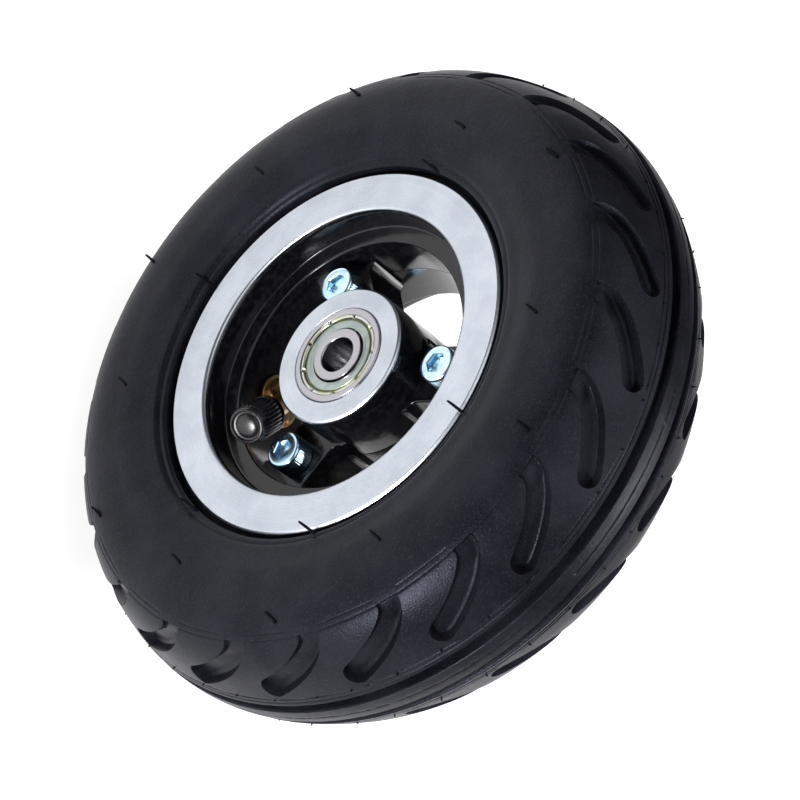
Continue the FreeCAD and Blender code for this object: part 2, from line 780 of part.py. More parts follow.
def valve_base():
    """The rubber patch that joins the stem to the tube, shaped to the round well."""
    across_axle = Rotation(Vector(1, 0, 0), -90)
    shells = []
    for name, radius in (("top", dim.tube_floor_radius),
                         ("bottom", dim.well_radius + dim.well_wall + dim.fit_gap)):
        cylinder = doc.addObject("Part::Cylinder", "base_" + name)
        bind(cylinder, "Radius", radius)
        bind(cylinder, "Height", dim.base_radius * 2)
        cylinder.Placement = Placement(Vector(0, -dim.base_radius.value, 0), across_axle)
        shells.append(cylinder)
    band = doc.addObject("Part::Cut", "base_band")
    band.Base, band.Tool = shells
    disc = doc.addObject("Part::Cylinder", "base_disc")
    bind(disc, "Radius", dim.base_radius)
    bind(disc, "Height", dim.tube_floor_radius * 2)
    disc.Placement = leg_place()
    patch = doc.addObject("Part::Common", "base_patch")
    patch.Base, patch.Tool = band, disc
    hole = doc.addObject("Part::Cylinder", "base_hole")
    bind(hole, "Radius", dim.stem_radius + dim.fit_gap)
    bind(hole, "Height", dim.tube_floor_radius * 2)
    hole.Placement = leg_place()
    base = doc.addObject("Part::Cut", "valve_base")
    base.Label = "valve_base"
    base.Base, base.Tool = patch, hole
    return keep(base)


def on_bend(body):
    body.Placement = bend_place()
    return keep(body)


def valve_core_body():
    """The core's barrel, with a spring chamber between two end walls."""
    body = new_body("valve_core_body")
    start, top, wall = dim.core_start, dim.core_top, dim.core_wall
    cylinder_in(body, "Additive", "barrel", dim.core_radius, top - start, start)
    cylinder_in(body, "Subtractive", "pin_guide", dim.pin_guide_radius, top - start, start)
    chamber_length = top - start - wall * 2
    cylinder_in(body, "Subtractive", "spring_chamber", dim.core_bore_radius, chamber_length, start + wall)
    return on_bend(body)


def valve_core_pin():
    """The pin: a poppet that closes the core's lower end, and a collar that the spring pushes up."""
    body = new_body("valve_core_pin")
    poppet_top = dim.core_start - dim.fit_gap
    pin_start = poppet_top - dim.pin_root
    cylinder_in(body, "Additive", "pin", dim.pin_radius, dim.pin_top - pin_start, pin_start)
    poppet_start = poppet_top - dim.poppet_height
    cylinder_in(body, "Additive", "poppet", dim.poppet_radius, dim.poppet_height, poppet_start)
    cylinder_in(body, "Additive", "collar", dim.collar_radius, dim.collar_height, dim.collar_start)
    return on_bend(body)


def valve_core_spring():
    """The coil spring between the core's lower wall and the pin's collar."""
    wire, radius = dim.spring_wire_radius.value, dim.spring_radius.value
    start = dim.core_start.value + dim.core_wall.value + wire + dim.fit_gap.value
    room = dim.collar_start.value - wire - dim.fit_gap.value - start
    helix = Part.makeHelix(room / dim.spring_turns.value, room, radius)
    profile = Part.Wire([Part.makeCircle(wire, Vector(radius, 0, 0), Vector(0, 1, 0))])
    coil = Part.Wire(helix.Edges).makePipeShell([profile], True, True)
    spring = doc.addObject("Part::Feature", "valve_core_spring")
    spring.Label = "valve_core_spring"
    spring.Shape = coil
    spring.Placement = bend_place() * Placement(Vector(0, 0, start), Rotation())
    return keep(spring)


def valve_cap():
    """The screwed cap, closed at its outer end."""
    body = new_body("valve_cap")
    start, top = dim.cap_start, dim.cap_top
    ceiling = dim.stem_top + dim.fit_gap * 2 + dim.seal_thickness
    cylinder_in(body, "Additive", "wall", dim.cap_radius, top - start, start)
    cylinder_in(body, "Subtractive", "thread", dim.cap_bore_radius, ceiling - start, start)
    dressed(body, "Chamfer", "edge", end_edge(dim.cap_radius, top), "Size", dim.cap_edge)
    return on_bend(body)


def valve_cap_seal():
    body = new_body("valve_cap_seal")
    base = dim.stem_top + dim.fit_gap
    cylinder_in(body, "Additive", "disc", dim.cap_bore_radius - dim.fit_gap * 2, dim.seal_thickness, base)
    return on_bend(body)


# The whole wheel ----------------------------------------------------------------------------------


def build():
    rim_half("rim_front_half", True)
    rim_half("rim_rear_half", False)
    tyre()
    inner_tube()
    bearing("front", True)
    bearing("rear", False)
    bearing_spacer()
    rim_screws()
    rim_nuts()
    valve_base()
    valve_stem()
    valve_washer()
    valve_nut()
    valve_core_body()
    valve_core_pin()
    valve_core_spring()
    valve_cap()
    valve_cap_seal()
    doc.recompute()


def check():
    """Stops the build when any object failed or any sub-part has no sound shape."""
    for thing in doc.Objects:
        if "Invalid" in thing.State or "Error" in thing.State:
            raise RuntimeError("failed: " + thing.Name + " " + str(thing.State))
    for part in subparts:
        if part.Shape.isNull() or not part.Shape.isValid():
            raise RuntimeError("bad shape: " + part.Label)


def write():
    os.makedirs("parts", exist_ok=True)
    for part in subparts:
        part.Shape.exportStep("parts/" + part.Label + ".step")
        print(part.Label, "%.1f mm3" % part.Shape.Volume, len(part.Shape.Solids), "solid(s)")


build()
check()
write()
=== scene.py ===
import json
import math
import random

import bmesh
import bpy
import numpy as np
from mathutils import Matrix, Vector


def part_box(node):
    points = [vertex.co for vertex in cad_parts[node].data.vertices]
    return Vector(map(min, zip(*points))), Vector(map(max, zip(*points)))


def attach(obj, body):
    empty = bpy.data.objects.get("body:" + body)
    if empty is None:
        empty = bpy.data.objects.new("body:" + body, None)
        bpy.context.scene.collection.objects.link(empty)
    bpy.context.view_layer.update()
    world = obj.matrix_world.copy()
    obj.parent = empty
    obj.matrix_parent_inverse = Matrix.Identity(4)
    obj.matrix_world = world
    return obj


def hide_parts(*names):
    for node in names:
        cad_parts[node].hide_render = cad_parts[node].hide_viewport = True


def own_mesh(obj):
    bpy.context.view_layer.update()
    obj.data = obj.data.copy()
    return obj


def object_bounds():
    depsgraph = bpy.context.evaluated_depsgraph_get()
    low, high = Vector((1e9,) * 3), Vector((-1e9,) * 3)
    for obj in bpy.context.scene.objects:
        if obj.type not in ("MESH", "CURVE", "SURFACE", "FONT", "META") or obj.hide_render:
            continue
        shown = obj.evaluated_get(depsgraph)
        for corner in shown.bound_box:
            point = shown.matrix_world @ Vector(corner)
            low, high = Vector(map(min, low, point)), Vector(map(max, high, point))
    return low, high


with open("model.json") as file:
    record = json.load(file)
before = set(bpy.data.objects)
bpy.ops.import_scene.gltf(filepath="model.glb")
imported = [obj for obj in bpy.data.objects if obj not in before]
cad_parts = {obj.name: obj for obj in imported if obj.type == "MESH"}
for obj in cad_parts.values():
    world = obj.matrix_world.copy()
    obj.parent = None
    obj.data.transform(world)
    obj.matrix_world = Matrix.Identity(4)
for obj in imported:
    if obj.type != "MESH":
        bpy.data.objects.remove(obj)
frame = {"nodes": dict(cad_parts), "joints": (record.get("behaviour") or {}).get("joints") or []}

cad_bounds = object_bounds()

# Lengths are in millimetres unless a name says otherwise. The wheel turns about +Y, its front faces -Y, and
# angles are in degrees in the XZ plane, counted from +X towards +Z.
MM = 0.001

TYRE_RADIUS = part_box("tyre")[1].z / MM
LIP_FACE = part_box("rim_rear_half")[1].y / MM
LIP_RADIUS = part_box("rim_rear_half")[1].z / MM
RING_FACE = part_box("rear_bearing_outer_ring")[1].y / MM
RING_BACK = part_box("rear_bearing_outer_ring")[0].y / MM
RING_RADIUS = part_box("rear_bearing_outer_ring")[1].z / MM
SCREW_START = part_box("rim_screws")[0].y / MM
SCREW_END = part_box("rim_screws")[1].y / MM
NUT_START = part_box("rim_nuts")[0].y / MM
NUT_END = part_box("rim_nuts")[1].y / MM
FRONT = -1
REAR = 1
BOLTS = 3
FIRST_BOLT = 78.4
BOLT_CIRCLE = 23.0


# Mesh tools --------------------------------------------------------------


def polar(angle, radius, height):
    """Points in the wheel's frame from angle (radians), radius and height along the axle."""
    return np.stack(np.broadcast_arrays(radius * np.cos(angle), height, radius * np.sin(angle)), axis=-1)


def upright(angle, radius, height):
    """Points in a local frame whose axis is +Z."""
    return np.stack(np.broadcast_arrays(radius * np.cos(angle), radius * np.sin(angle), height), axis=-1)


class Shell:
    """Collects grids of points as one mesh."""

    def __init__(self):
        self.points = []
        self.faces = []
        self.count = 0

    def grid(self, points, loop_rows=False, place=None):
        """A tube of quads over a (rows, columns, 3) array, its last row joined to its first if asked."""
        rows, columns = points.shape[:2]
        flat = points.reshape(-1, 3)
        if place is not None:
            turn = np.array(place.to_3x3())
            flat = flat @ turn.T + np.array(place.translation)
        numbers = np.arange(rows * columns).reshape(rows, columns) + self.count
        if loop_rows:
            numbers = np.vstack([numbers, numbers[:1]])
        numbers = np.hstack([numbers, numbers[:, :1]])
        corners = [numbers[:-1, :-1], numbers[:-1, 1:], numbers[1:, 1:], numbers[1:, :-1]]
        self.faces += np.stack(corners, axis=-1).reshape(-1, 4).tolist()
        self.points.append(flat)
        self.count += len(flat)

    def piece(self, name, body, material, replaces=(), sharp=32.0):
        """The finished object: welded, facing outwards, smooth but for edges sharper than an angle."""
        mesh = bpy.data.meshes.new(name)
        mesh.from_pydata((np.vstack(self.points) * MM).tolist(), [], self.faces)
        work = bmesh.new()
        work.from_mesh(mesh)
        bmesh.ops.remove_doubles(work, verts=work.verts, dist=2e-7)
        bmesh.ops.dissolve_degenerate(work, edges=work.edges, dist=1e-8)
        bmesh.ops.recalc_face_normals(work, faces=work.faces)
        work.to_mesh(mesh)
        work.free()
        mesh.polygons.foreach_set("use_smooth", [True] * len(mesh.polygons))
        mesh.set_sharp_from_angle(angle=math.radians(sharp))
        thing = bpy.data.objects.new(name, mesh)
        bpy.context.scene.collection.objects.link(thing)
        thing.data.materials.append(material)
        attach(thing, body)
        if replaces:
            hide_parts(*replaces)
        return thing


def turns(steps):
    return np.arange(steps) * (2 * math.pi / steps)


CORNER_STEPS = 4
EDGE_SHARE = 0.45


def softened(corners):
    """A closed outline, each (radius, height, softness) corner rounded over its softness or what fits."""
    points = []
    for index, (radius, height, soft) in enumerate(corners):
        corner = Vector((radius, height))
        before = Vector(corners[index - 1][:2]) - corner
        after = Vector(corners[(index + 1) % len(corners)][:2]) - corner
        if soft == 0:
            points.append((radius, height))
            continue
        start = corner + before.normalized() * min(soft, before.length * EDGE_SHARE)
        end = corner + after.normalized() * min(soft, after.length * EDGE_SHARE)
        for share in np.linspace(0, 1, CORNER_STEPS + 1):
            mid = start.lerp(corner, share).lerp(corner.lerp(end, share), share)
            points.append((mid.x, mid.y))
    return points


def spun(rows, steps, kind=polar, side=1):
    """A turned grid. A row is (radius, height), and either may be a function of the angle in radians."""
    angle = turns(steps)
    grid = []
    for radius, height in rows:
        across = radius(angle) if callable(radius) else np.full(steps, float(radius))
        along = height(angle) if callable(height) else np.full(steps, float(height))
        grid.append(kind(angle, across, along * side))
    return np.array(grid)


def ring(shell, corners, steps, side=1, place=None, kind=polar):
    """A solid ring from a closed outline of (radius, height, softness) corners."""
    shell.grid(spun(softened(corners), steps, kind, side), loop_rows=True, place=place)


# Materials ---------------------------------------------------------------


class Nodes:
    """A short way to write a node material."""

    def __init__(self, name):
        self.material = bpy.data.materials.new(name)
        self.material.use_nodes = True
        self.tree = self.material.node_tree
        self.shader = self.tree.nodes["Principled BSDF"]

    def link(self, value, socket):
        if isinstance(value, bpy.types.NodeSocket):
            self.tree.links.new(value, socket)
        elif isinstance(value, tuple) and len(value) == 3 and socket.type == "RGBA":
            socket.default_value = (*value, 1.0)
        else:
            socket.default_value = value

    def add(self, kind, inputs=(), **settings):
        node = self.tree.nodes.new("ShaderNode" + kind)
        for name, value in settings.items():
            setattr(node, name, value)
        for socket, value in dict(inputs).items():
            self.link(value, node.inputs[socket])
        return node

    def math(self, operation, first, second=0.0, third=0.0):
        return self.add("Math", {0: first, 1: second, 2: third}, operation=operation).outputs[0]

    def noise(self, place, scale, detail=3.0, roughness=0.5):
        inputs = {"Vector": place, "Scale": scale, "Detail": detail, "Roughness": roughness}
        return self.add("TexNoise", inputs).outputs["Fac"]

    def fade(self, value, low, high, start=0.0, end=1.0):
        """The value's place between low and high, as a smooth share between start and end."""
        inputs = {"Value": value, 1: low, 2: high, 3: start, 4: end}
        node = self.add("MapRange", inputs, interpolation_type="SMOOTHSTEP")
        return node.outputs[0]

    def beyond(self, value, line, softness):
        """1 where a length in metres is past a line given in mm, 0 before it, with a soft change."""
        return self.fade(value, (line - softness) * MM, (line + softness) * MM)

    def below(self, value, line, softness):
        return self.fade(value, (line - softness) * MM, (line + softness) * MM, 1.0, 0.0)

    def both(self, first, second):
        return self.math("MULTIPLY", first, second)

    def mix(self, share, first, second):
        node = self.add("Mix", data_type="RGBA")
        self.link(share, node.inputs[0])
        self.link(first, node.inputs[6])
        self.link(second, node.inputs[7])
        return node.outputs[2]

    def blend(self, share, first, second):
        node = self.add("Mix", data_type="FLOAT")
        for index, value in enumerate((share, first, second)):
            self.link(value, node.inputs[(0, 2, 3)[index]])
        return node.outputs[0]

    def bump(self, height, distance, strength=1.0, normal=None):
        inputs = {"Height": height, "Distance": distance, "Strength": strength}
        if normal is not None:
            inputs["Normal"] = normal
        return self.add("Bump", inputs).outputs[0]

    def finish(self, **inputs):
        for name, value in inputs.items():
            self.link(value, self.shader.inputs[name.replace("_", " ")])
        return self.material

    def place(self):
        """Object position in metres."""
        return self.add("TexCoord").outputs["Object"]

    def parts(self, place):
        split = self.add("SeparateXYZ", {0: place})
        return split.outputs[0], split.outputs[1], split.outputs[2]

    def radius(self, first, second):
        squares = self.math("ADD", self.both(first, first), self.both(second, second))
        return self.math("SQRT", squares)

    def combined(self, first, second, third):
        return self.add("CombineXYZ", {0: first, 1: second, 2: third}).outputs[0]


def rubber(name, tone, rough, shine=0.145):
    """Moulded black rubber: mottled, faintly dusty, with a fine grain, and painted shade in its hollows,
    where its reflection is faded out by ambient occlusion.
    """
    nodes = Nodes(name)
    place = nodes.place()
    mottle = nodes.noise(place, 90.0, 4.0)
    grain = nodes.noise(place, 2600.0, 2.0)
    dust = nodes.fade(nodes.noise(place, 320.0, 6.0, 0.7), 0.56, 0.74)
    light = tuple(channel * 1.7 + 0.002 for channel in tone)
    pale = tuple(channel * 2.5 + 0.012 for channel in tone)
    colour = nodes.mix(nodes.fade(mottle, 0.35, 0.7), tone, light)
    colour = nodes.mix(nodes.both(dust, 0.22), colour, pale)
    colour = nodes.mix(nodes.fade(grain, 0.52, 0.7, 0.0, 0.45), colour, pale)
    roughness = nodes.blend(mottle, rough - 0.07, rough + 0.12)
    uneven = nodes.bump(nodes.noise(place, 120.0, 3.0), 0.0006, 0.3)
    normal = nodes.bump(grain, 0.0001, 0.6, nodes.bump(nodes.noise(place, 500.0, 3.0), 0.0001, 0.4, uneven))
    # Painted shade: the rubber's reflection is faded out in hollows and slots, by ambient occlusion.
    occlusion_shade = nodes.add("AmbientOcclusion", {"Distance": 0.0035}, samples=6).outputs["AO"]
    return nodes.finish(
        Base_Color=colour,
        Roughness=roughness,
        Normal=normal,
        Specular_IOR_Level=nodes.fade(occlusion_shade, 0.35, 0.95, 0.02, shine),
        Specular_Tint=(0.74, 0.80, 1.0),
    )


def turned_metal(name, tone, roughness):
    """Metal turned about the axle: fine rings and soft stains."""
    nodes = Nodes(name)
    place = nodes.place()
    across, along, up = nodes.parts(place)
    radius = nodes.radius(across, up)
    rings = nodes.noise(nodes.combined(radius, along, 0.0), 5200.0, 2.0)
    stain = nodes.noise(place, 160.0, 4.0)
    colour = nodes.mix(nodes.fade(rings, 0.3, 0.75), tuple(channel * 0.8 for channel in tone), tone)
    wear = nodes.blend(stain, roughness - 0.06, roughness + 0.1)
    normal = nodes.bump(rings, 0.00001, 0.6)
    return nodes.finish(Base_Color=colour, Metallic=1.0, Roughness=wear, Normal=normal)


def plated(name, tone, deep_tone_and_shade, roughness):
    """Bright zinc plate, a deeper blue in random patches, with painted shade in hollows that darkens it to a
    deep blue by ambient occlusion.
    """
    nodes = Nodes(name)
    place = nodes.place()
    patch = nodes.fade(nodes.noise(place, 420.0, 3.0), 0.42, 0.62)
    # Painted shade: the plate is mixed towards the deep blue where ambient occlusion finds a hollow, such as
    # the screws' sockets.
    occlusion_shade = nodes.add("AmbientOcclusion", {"Distance": 0.0022}, samples=8).outputs["AO"]
    depth = nodes.fade(occlusion_shade, 0.25, 0.8, 0.9, 0.0)
    share = nodes.math("MAXIMUM", nodes.both(patch, 0.3), depth)
    colour = nodes.mix(share, tone, deep_tone_and_shade)
    scratches = nodes.noise(place, 3800.0, 2.0)
    normal = nodes.bump(scratches, 0.00001, 0.5)
    return nodes.finish(Base_Color=colour, Metallic=1.0, Roughness=roughness, Normal=normal)


def plain_metal(name, tone, dark, roughness=0.3):
    nodes = Nodes(name)
    place = nodes.place()
    stain = nodes.noise(place, 260.0, 5.0)
    colour = nodes.mix(nodes.fade(stain, 0.35, 0.7), tone, dark)
    wear = nodes.blend(stain, roughness - 0.08, roughness + 0.12)
    normal = nodes.bump(nodes.noise(place, 2400.0, 2.0), 0.00002, 0.4)
    return nodes.finish(Base_Color=colour, Metallic=1.0, Roughness=wear, Normal=normal)


def moulded_plastic(name, tone):
    nodes = Nodes(name)
    place = nodes.place()
    grain = nodes.noise(place, 3000.0, 2.0)
    patch = nodes.noise(place, 400.0, 4.0)
    light = tuple(channel * 2.0 for channel in tone)
    colour = nodes.mix(nodes.fade(patch, 0.4, 0.7), tone, light)
    roughness = nodes.blend(patch, 0.2, 0.34)
    return nodes.finish(Base_Color=colour, Roughness=roughness, Normal=nodes.bump(grain, 0.00003, 0.4))


LIP_PAINT_RADIUS = 33.55
LIP_PAINT_HEIGHT = 12.1
HUB_PAINT_RADIUS = 17.3
HUB_PAINT_HEIGHT = 14.7


def cast_and_machined():
    """The rim: gloss black paint over cast metal, machined bare on the lip and the hub's face."""
    nodes = Nodes("rim_paint_and_machined")
    place = nodes.place()
    across, along, up = nodes.parts(place)
    radius = nodes.radius(across, up)
    height = nodes.math("ABSOLUTE", along)
    lip_front = nodes.beyond(height, LIP_PAINT_HEIGHT, 0.1)
    lip = nodes.both(nodes.beyond(radius, LIP_PAINT_RADIUS, 0.1), lip_front)
    hub_front = nodes.beyond(height, HUB_PAINT_HEIGHT, 0.05)
    hub = nodes.both(nodes.below(radius, HUB_PAINT_RADIUS, 0.1), hub_front)
    bare = nodes.math("MAXIMUM", lip, hub)
    rings = nodes.noise(nodes.combined(radius, height, 0.0), 6500.0, 2.0)
    bands = nodes.noise(nodes.combined(radius, height, 0.0), 900.0, 2.0)
    stain = nodes.noise(place, 110.0, 5.0, 0.6)
    pits = nodes.fade(nodes.noise(place, 1500.0, 1.0), 0.76, 0.80)
    metal = nodes.mix(nodes.fade(stain, 0.35, 0.7), (0.56, 0.60, 0.66), (0.47, 0.51, 0.57))
    metal = nodes.mix(nodes.fade(rings, 0.35, 0.7, 0.0, 0.25), metal, (0.42, 0.44, 0.48))
    metal = nodes.mix(nodes.both(pits, 0.7), metal, (0.2, 0.2, 0.21))
    paint_mottle = nodes.noise(place, 700.0, 4.0)
    paint = nodes.mix(nodes.fade(paint_mottle, 0.4, 0.7), (0.003, 0.003, 0.004), (0.008, 0.008, 0.010))
    colour = nodes.mix(bare, paint, metal)
    metal_roughness = nodes.blend(bands, 0.2, 0.36)
    roughness = nodes.blend(bare, nodes.blend(paint_mottle, 0.07, 0.22), metal_roughness)
    cut = nodes.bump(rings, 0.000012, 0.7)
    cast = nodes.bump(paint_mottle, 0.00005, 0.5)
    normal = nodes.add("Mix", data_type="VECTOR")
    for index, value in ((0, bare), (4, cast), (5, cut)):
        nodes.link(value, normal.inputs[index])
    around = nodes.add("Tangent", direction_type="RADIAL", axis="Y").outputs[0]
    return nodes.finish(
        Base_Color=colour,
        Metallic=bare,
        Roughness=roughness,
        Normal=normal.outputs[1],
        Specular_IOR_Level=0.42,
        Anisotropic=nodes.both(bare, 0.75),
        Tangent=around,
    )


NOTCHES = 9
FIRST_NOTCH = math.radians(1.5)
NOTCH_HALF = math.radians(1.7)
NOTCH_SHARE = FIRST_NOTCH * NOTCHES / (2 * math.pi)
SHIELD_GROOVE = (8.25, 8.75)
SHIELD_ROLL = 8.85


def shield_metal():
    """The bearing shield: pale grey-green sheet, darker and yellowish in its crimped groove, with painted
    shade at the notches of its rolled rim.
    """
    nodes = Nodes("bearing_shield_metal")
    place = nodes.place()
    across, along, up = nodes.parts(place)
    radius = nodes.radius(across, up)
    inside, outside = SHIELD_GROOVE
    groove = nodes.both(nodes.beyond(radius, inside, 0.05), nodes.below(radius, outside, 0.05))
    rolled = nodes.beyond(radius, SHIELD_ROLL, 0.05)
    angle = nodes.math("ARCTAN2", up, across)
    turn = nodes.math("MULTIPLY_ADD", angle, NOTCHES / (2 * math.pi), NOTCHES - NOTCH_SHARE)
    away = nodes.math("ABSOLUTE", nodes.math("SUBTRACT", nodes.math("FRACT", turn), 0.5))
    # Painted shade: each notch in the rolled rim is painted near black.
    notch = nodes.both(nodes.fade(away, 0.455, 0.475), rolled)
    patches = nodes.fade(nodes.noise(place, 260.0, 3.0), 0.40, 0.62)
    colour = nodes.mix(patches, (0.30, 0.36, 0.34), (0.38, 0.42, 0.41))
    colour = nodes.mix(rolled, colour, nodes.mix(patches, (0.62, 0.62, 0.60), (0.50, 0.52, 0.36)))
    colour = nodes.mix(groove, colour, nodes.mix(patches, (0.10, 0.11, 0.05), (0.16, 0.18, 0.05)))
    colour = nodes.mix(notch, colour, (0.02, 0.02, 0.02))
    rings = nodes.noise(nodes.combined(radius, along, 0.0), 4200.0, 2.0)
    normal = nodes.bump(rings, 0.00001, 0.5)
    return nodes.finish(Base_Color=colour, Metallic=1.0, Roughness=0.32, Normal=normal)


FLOOR_GLOW = 0.85


def floor_finish():
    nodes = Nodes("floor_paint")
    place = nodes.place()
    shade = nodes.noise(place, 3.0, 2.0)
    colour = nodes.mix(shade, (0.46, 0.46, 0.46), (0.50, 0.50, 0.50))
    glow = {"Emission_Color": (1.0, 1.0, 1.0), "Emission_Strength": FLOOR_GLOW}
    return nodes.finish(Base_Color=colour, Roughness=0.7, Specular_IOR_Level=0.2, **glow)


TYRE_RUBBER = rubber("tyre_rubber", (0.0040, 0.0042, 0.0066), 0.33)
HAIR_RUBBER = rubber("hair_rubber", (0.002, 0.002, 0.003), 0.5, 0.04)
TUBE_RUBBER = rubber("tube_rubber", (0.02, 0.02, 0.021), 0.6)
VALVE_RUBBER = rubber("valve_rubber", (0.012, 0.012, 0.012), 0.55)
RIM_METAL = cast_and_machined()
RING_STEEL = turned_metal("bearing_ring_steel", (0.47, 0.46, 0.49), 0.18)
SHIELD_METAL = shield_metal()
CAGE_STEEL = plain_metal("cage_steel", (0.5, 0.5, 0.5), (0.38, 0.38, 0.37))
BALL_STEEL = plain_metal("ball_steel", (0.78, 0.78, 0.79), (0.7, 0.7, 0.71), 0.14)
SPACER_METAL = turned_metal("spacer_aluminium", (0.68, 0.69, 0.7), 0.16)
ZINC = plated("blue_zinc", (0.62, 0.80, 0.92), (0.10, 0.54, 0.88), 0.2)
BRASS = plain_metal("valve_brass", (0.66, 0.43, 0.17), (0.36, 0.20, 0.09), 0.32)
WIRE_STEEL = plain_metal("pin_steel", (0.62, 0.62, 0.63), (0.5, 0.5, 0.5), 0.28)
CAP_PLASTIC = moulded_plastic("cap_plastic", (0.005, 0.005, 0.006))


# Tyre --------------------------------------------------------------------

WIDEST_RADIUS = 56.2
# The moulding hairs stand out by up to this, just inside the CAD model's box.
TYRE_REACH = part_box("tyre")[1].y / MM - 0.02
TYRE_HALF_WIDTH = TYRE_REACH - 0.4
CROWN_RISE = TYRE_RADIUS - WIDEST_RADIUS - 0.6
CROWN_SWELL = 0.5
CROWN_ROUNDNESS = (1.6, 3.06)
BEAD_RADIUS = 43.65
BEAD_PULL_IN = 3.2
SLOTS = 22
PITCH = 360.0 / SLOTS
FIRST_SLOT = 105.9
# Places on the tread are in mm along the section from the middle of its crown. A slot starts and sweeps by
# angles round the wheel, which count back from its tip.
SLOT_TIP = 8.4
SLOT_TIP_HALF = 2.65
SLOT_END_HALF = 2.5
SLOT_START = 1.9
SLOT_SWEEP = 12.1
SLOT_HOOK = 1.65
SLOT_RUN_END = 21.7
SLOT_END = 22.5
SLOT_DEPTH = 2.4
SLOT_WALL = 0.45
SLOT_FADE = 4.5
GROOVE_NEAR = 2.7
GROOVE_FAR = 5.2
GROOVE_DEPTH = 1.9
SHOULDER_LINES = (22.4, 23.7)
RIB_LINE = 0.0
EDGE_LINE = 7.4
INNER_LINE = 6.35
LINE_HALF = 0.17
LINE_DEPTH = 0.24
GAP_SHARE = 0.35
# How far apart the mesh's rows are at a slot's tip, along its run and on the sidewall.
TIP_STEP = 0.33
RUN_STEP = 0.5
SIDE_STEP = 1.9


def tread_curve():
    """One half of the tyre's outside, from crown to bead: distance along it, height and radius."""
    turn = np.linspace(0, math.pi / 2, 900)
    height = TYRE_HALF_WIDTH * np.sin(turn) ** (2 / CROWN_ROUNDNESS[0])
    radius = WIDEST_RADIUS + CROWN_RISE * np.maximum(np.cos(turn), 0) ** (2 / CROWN_ROUNDNESS[1])
    radius = radius + CROWN_SWELL * np.exp(-((height / 8.0) ** 4))
    low = np.linspace(WIDEST_RADIUS, BEAD_RADIUS, 300)[1:]
    share = (WIDEST_RADIUS - low) / (WIDEST_RADIUS - BEAD_RADIUS)
    height = np.concatenate([height, TYRE_HALF_WIDTH - BEAD_PULL_IN * share**2])
    radius = np.concatenate([radius, low])
    along = np.concatenate([[0], np.cumsum(np.hypot(np.diff(height), np.diff(radius)))])
    return along, height, radius


ALONG, SECTION_HEIGHT, SECTION_RADIUS = tread_curve()


def slot_path(along):
    """How far round, in degrees before the slot's tip, the middle of a slot lies."""
    start = SLOT_TIP + SLOT_TIP_HALF
    share = np.clip((along - start) / (SLOT_RUN_END - start), 0, 1)
    return SLOT_START + SLOT_SWEEP * (1 - (1 - share) ** SLOT_HOOK)


def slot_middle():
    """The slot's middle line in mm round the tread and mm along the section, with its half width."""
    along = np.linspace(SLOT_TIP + SLOT_TIP_HALF, SLOT_END + 1.5, 160)
    around = np.radians(slot_path(along)) * np.interp(along, ALONG, SECTION_RADIUS)
    half = np.interp(along, [along[0], SLOT_END], [SLOT_TIP_HALF, SLOT_END_HALF])
    return around, along, half


def slot_edges(inset):
    """A slot's two edges, drawn in by the inset, as (along, around) curves that start at its tip."""
    around, along, half = slot_middle()
    half = half - inset
    run = np.gradient(around)
    rise = np.gradient(along)
    length = np.hypot(run, rise)
    normal = np.stack([-rise / length, run / length])
    tilt = math.atan2(normal[1][0], normal[0][0])
    edges = []
    for sign in (1, -1):
        last = tilt - math.pi * (2 if sign == 1 else 1)
        sweep = np.linspace(-math.pi / 2, last, 24)
        cap_around = around[0] + half[0] * np.cos(sweep)
        cap_along = along[0] + half[0] * np.sin(sweep)
        line_around = around + sign * half * normal[0]
        line_along = along + sign * half * normal[1]
        edge_along = np.concatenate([cap_along, line_along[1:]])
        edge_around = np.concatenate([cap_around, line_around[1:]])
        edges.append((np.maximum.accumulate(edge_along), edge_around))
    return edges


def slot_span(rows, inset):
    """Where a slot starts and ends round the tread at each row, in degrees before its tip."""
    (left_along, left_around), (right_along, right_around) = slot_edges(inset)
    radius = np.interp(rows, ALONG, SECTION_RADIUS)
    left = np.degrees(np.interp(rows, left_along, left_around) / radius)
    right = np.degrees(np.interp(rows, right_along, right_around) / radius)
    return np.minimum(left, right), np.maximum(left, right)


def slot_depth(around, rows):
    """The slot's depth at points given in degrees before the tip and mm along the section.

    Its bed is deepest towards the crown and climbs gently to the other side.
    """
    path_around, path_along, half = slot_middle()
    radius = np.interp(rows, ALONG, SECTION_RADIUS)
    place = np.radians(around) * radius
    off_around, off_along = place[..., None] - path_around, rows[..., None] - path_along
    gap = np.hypot(off_around, off_along)
    nearest = np.argmin(gap, axis=-1)
    run, rise = np.gradient(path_around), np.gradient(path_along)
    across = (off_around * rise - off_along * run) / np.hypot(run, rise)
    across = np.take_along_axis(across, nearest[..., None], -1)[..., 0] / half[nearest]
    inside = half[nearest] - np.take_along_axis(gap, nearest[..., None], -1)[..., 0]
    wall = np.interp(inside / SLOT_WALL, [0, 0.12, 0.86, 1.0], [0, 0.08, 0.95, 1.0])
    bed = np.interp(across, [-1.0, 0.6, 1.0], [0.8, 1.0, 0.75])
    fall = np.interp(rows, [SLOT_END - SLOT_FADE, SLOT_END - 0.01, SLOT_END], [1.0, 0.4, 0.0])
    return SLOT_DEPTH * wall * bed * fall


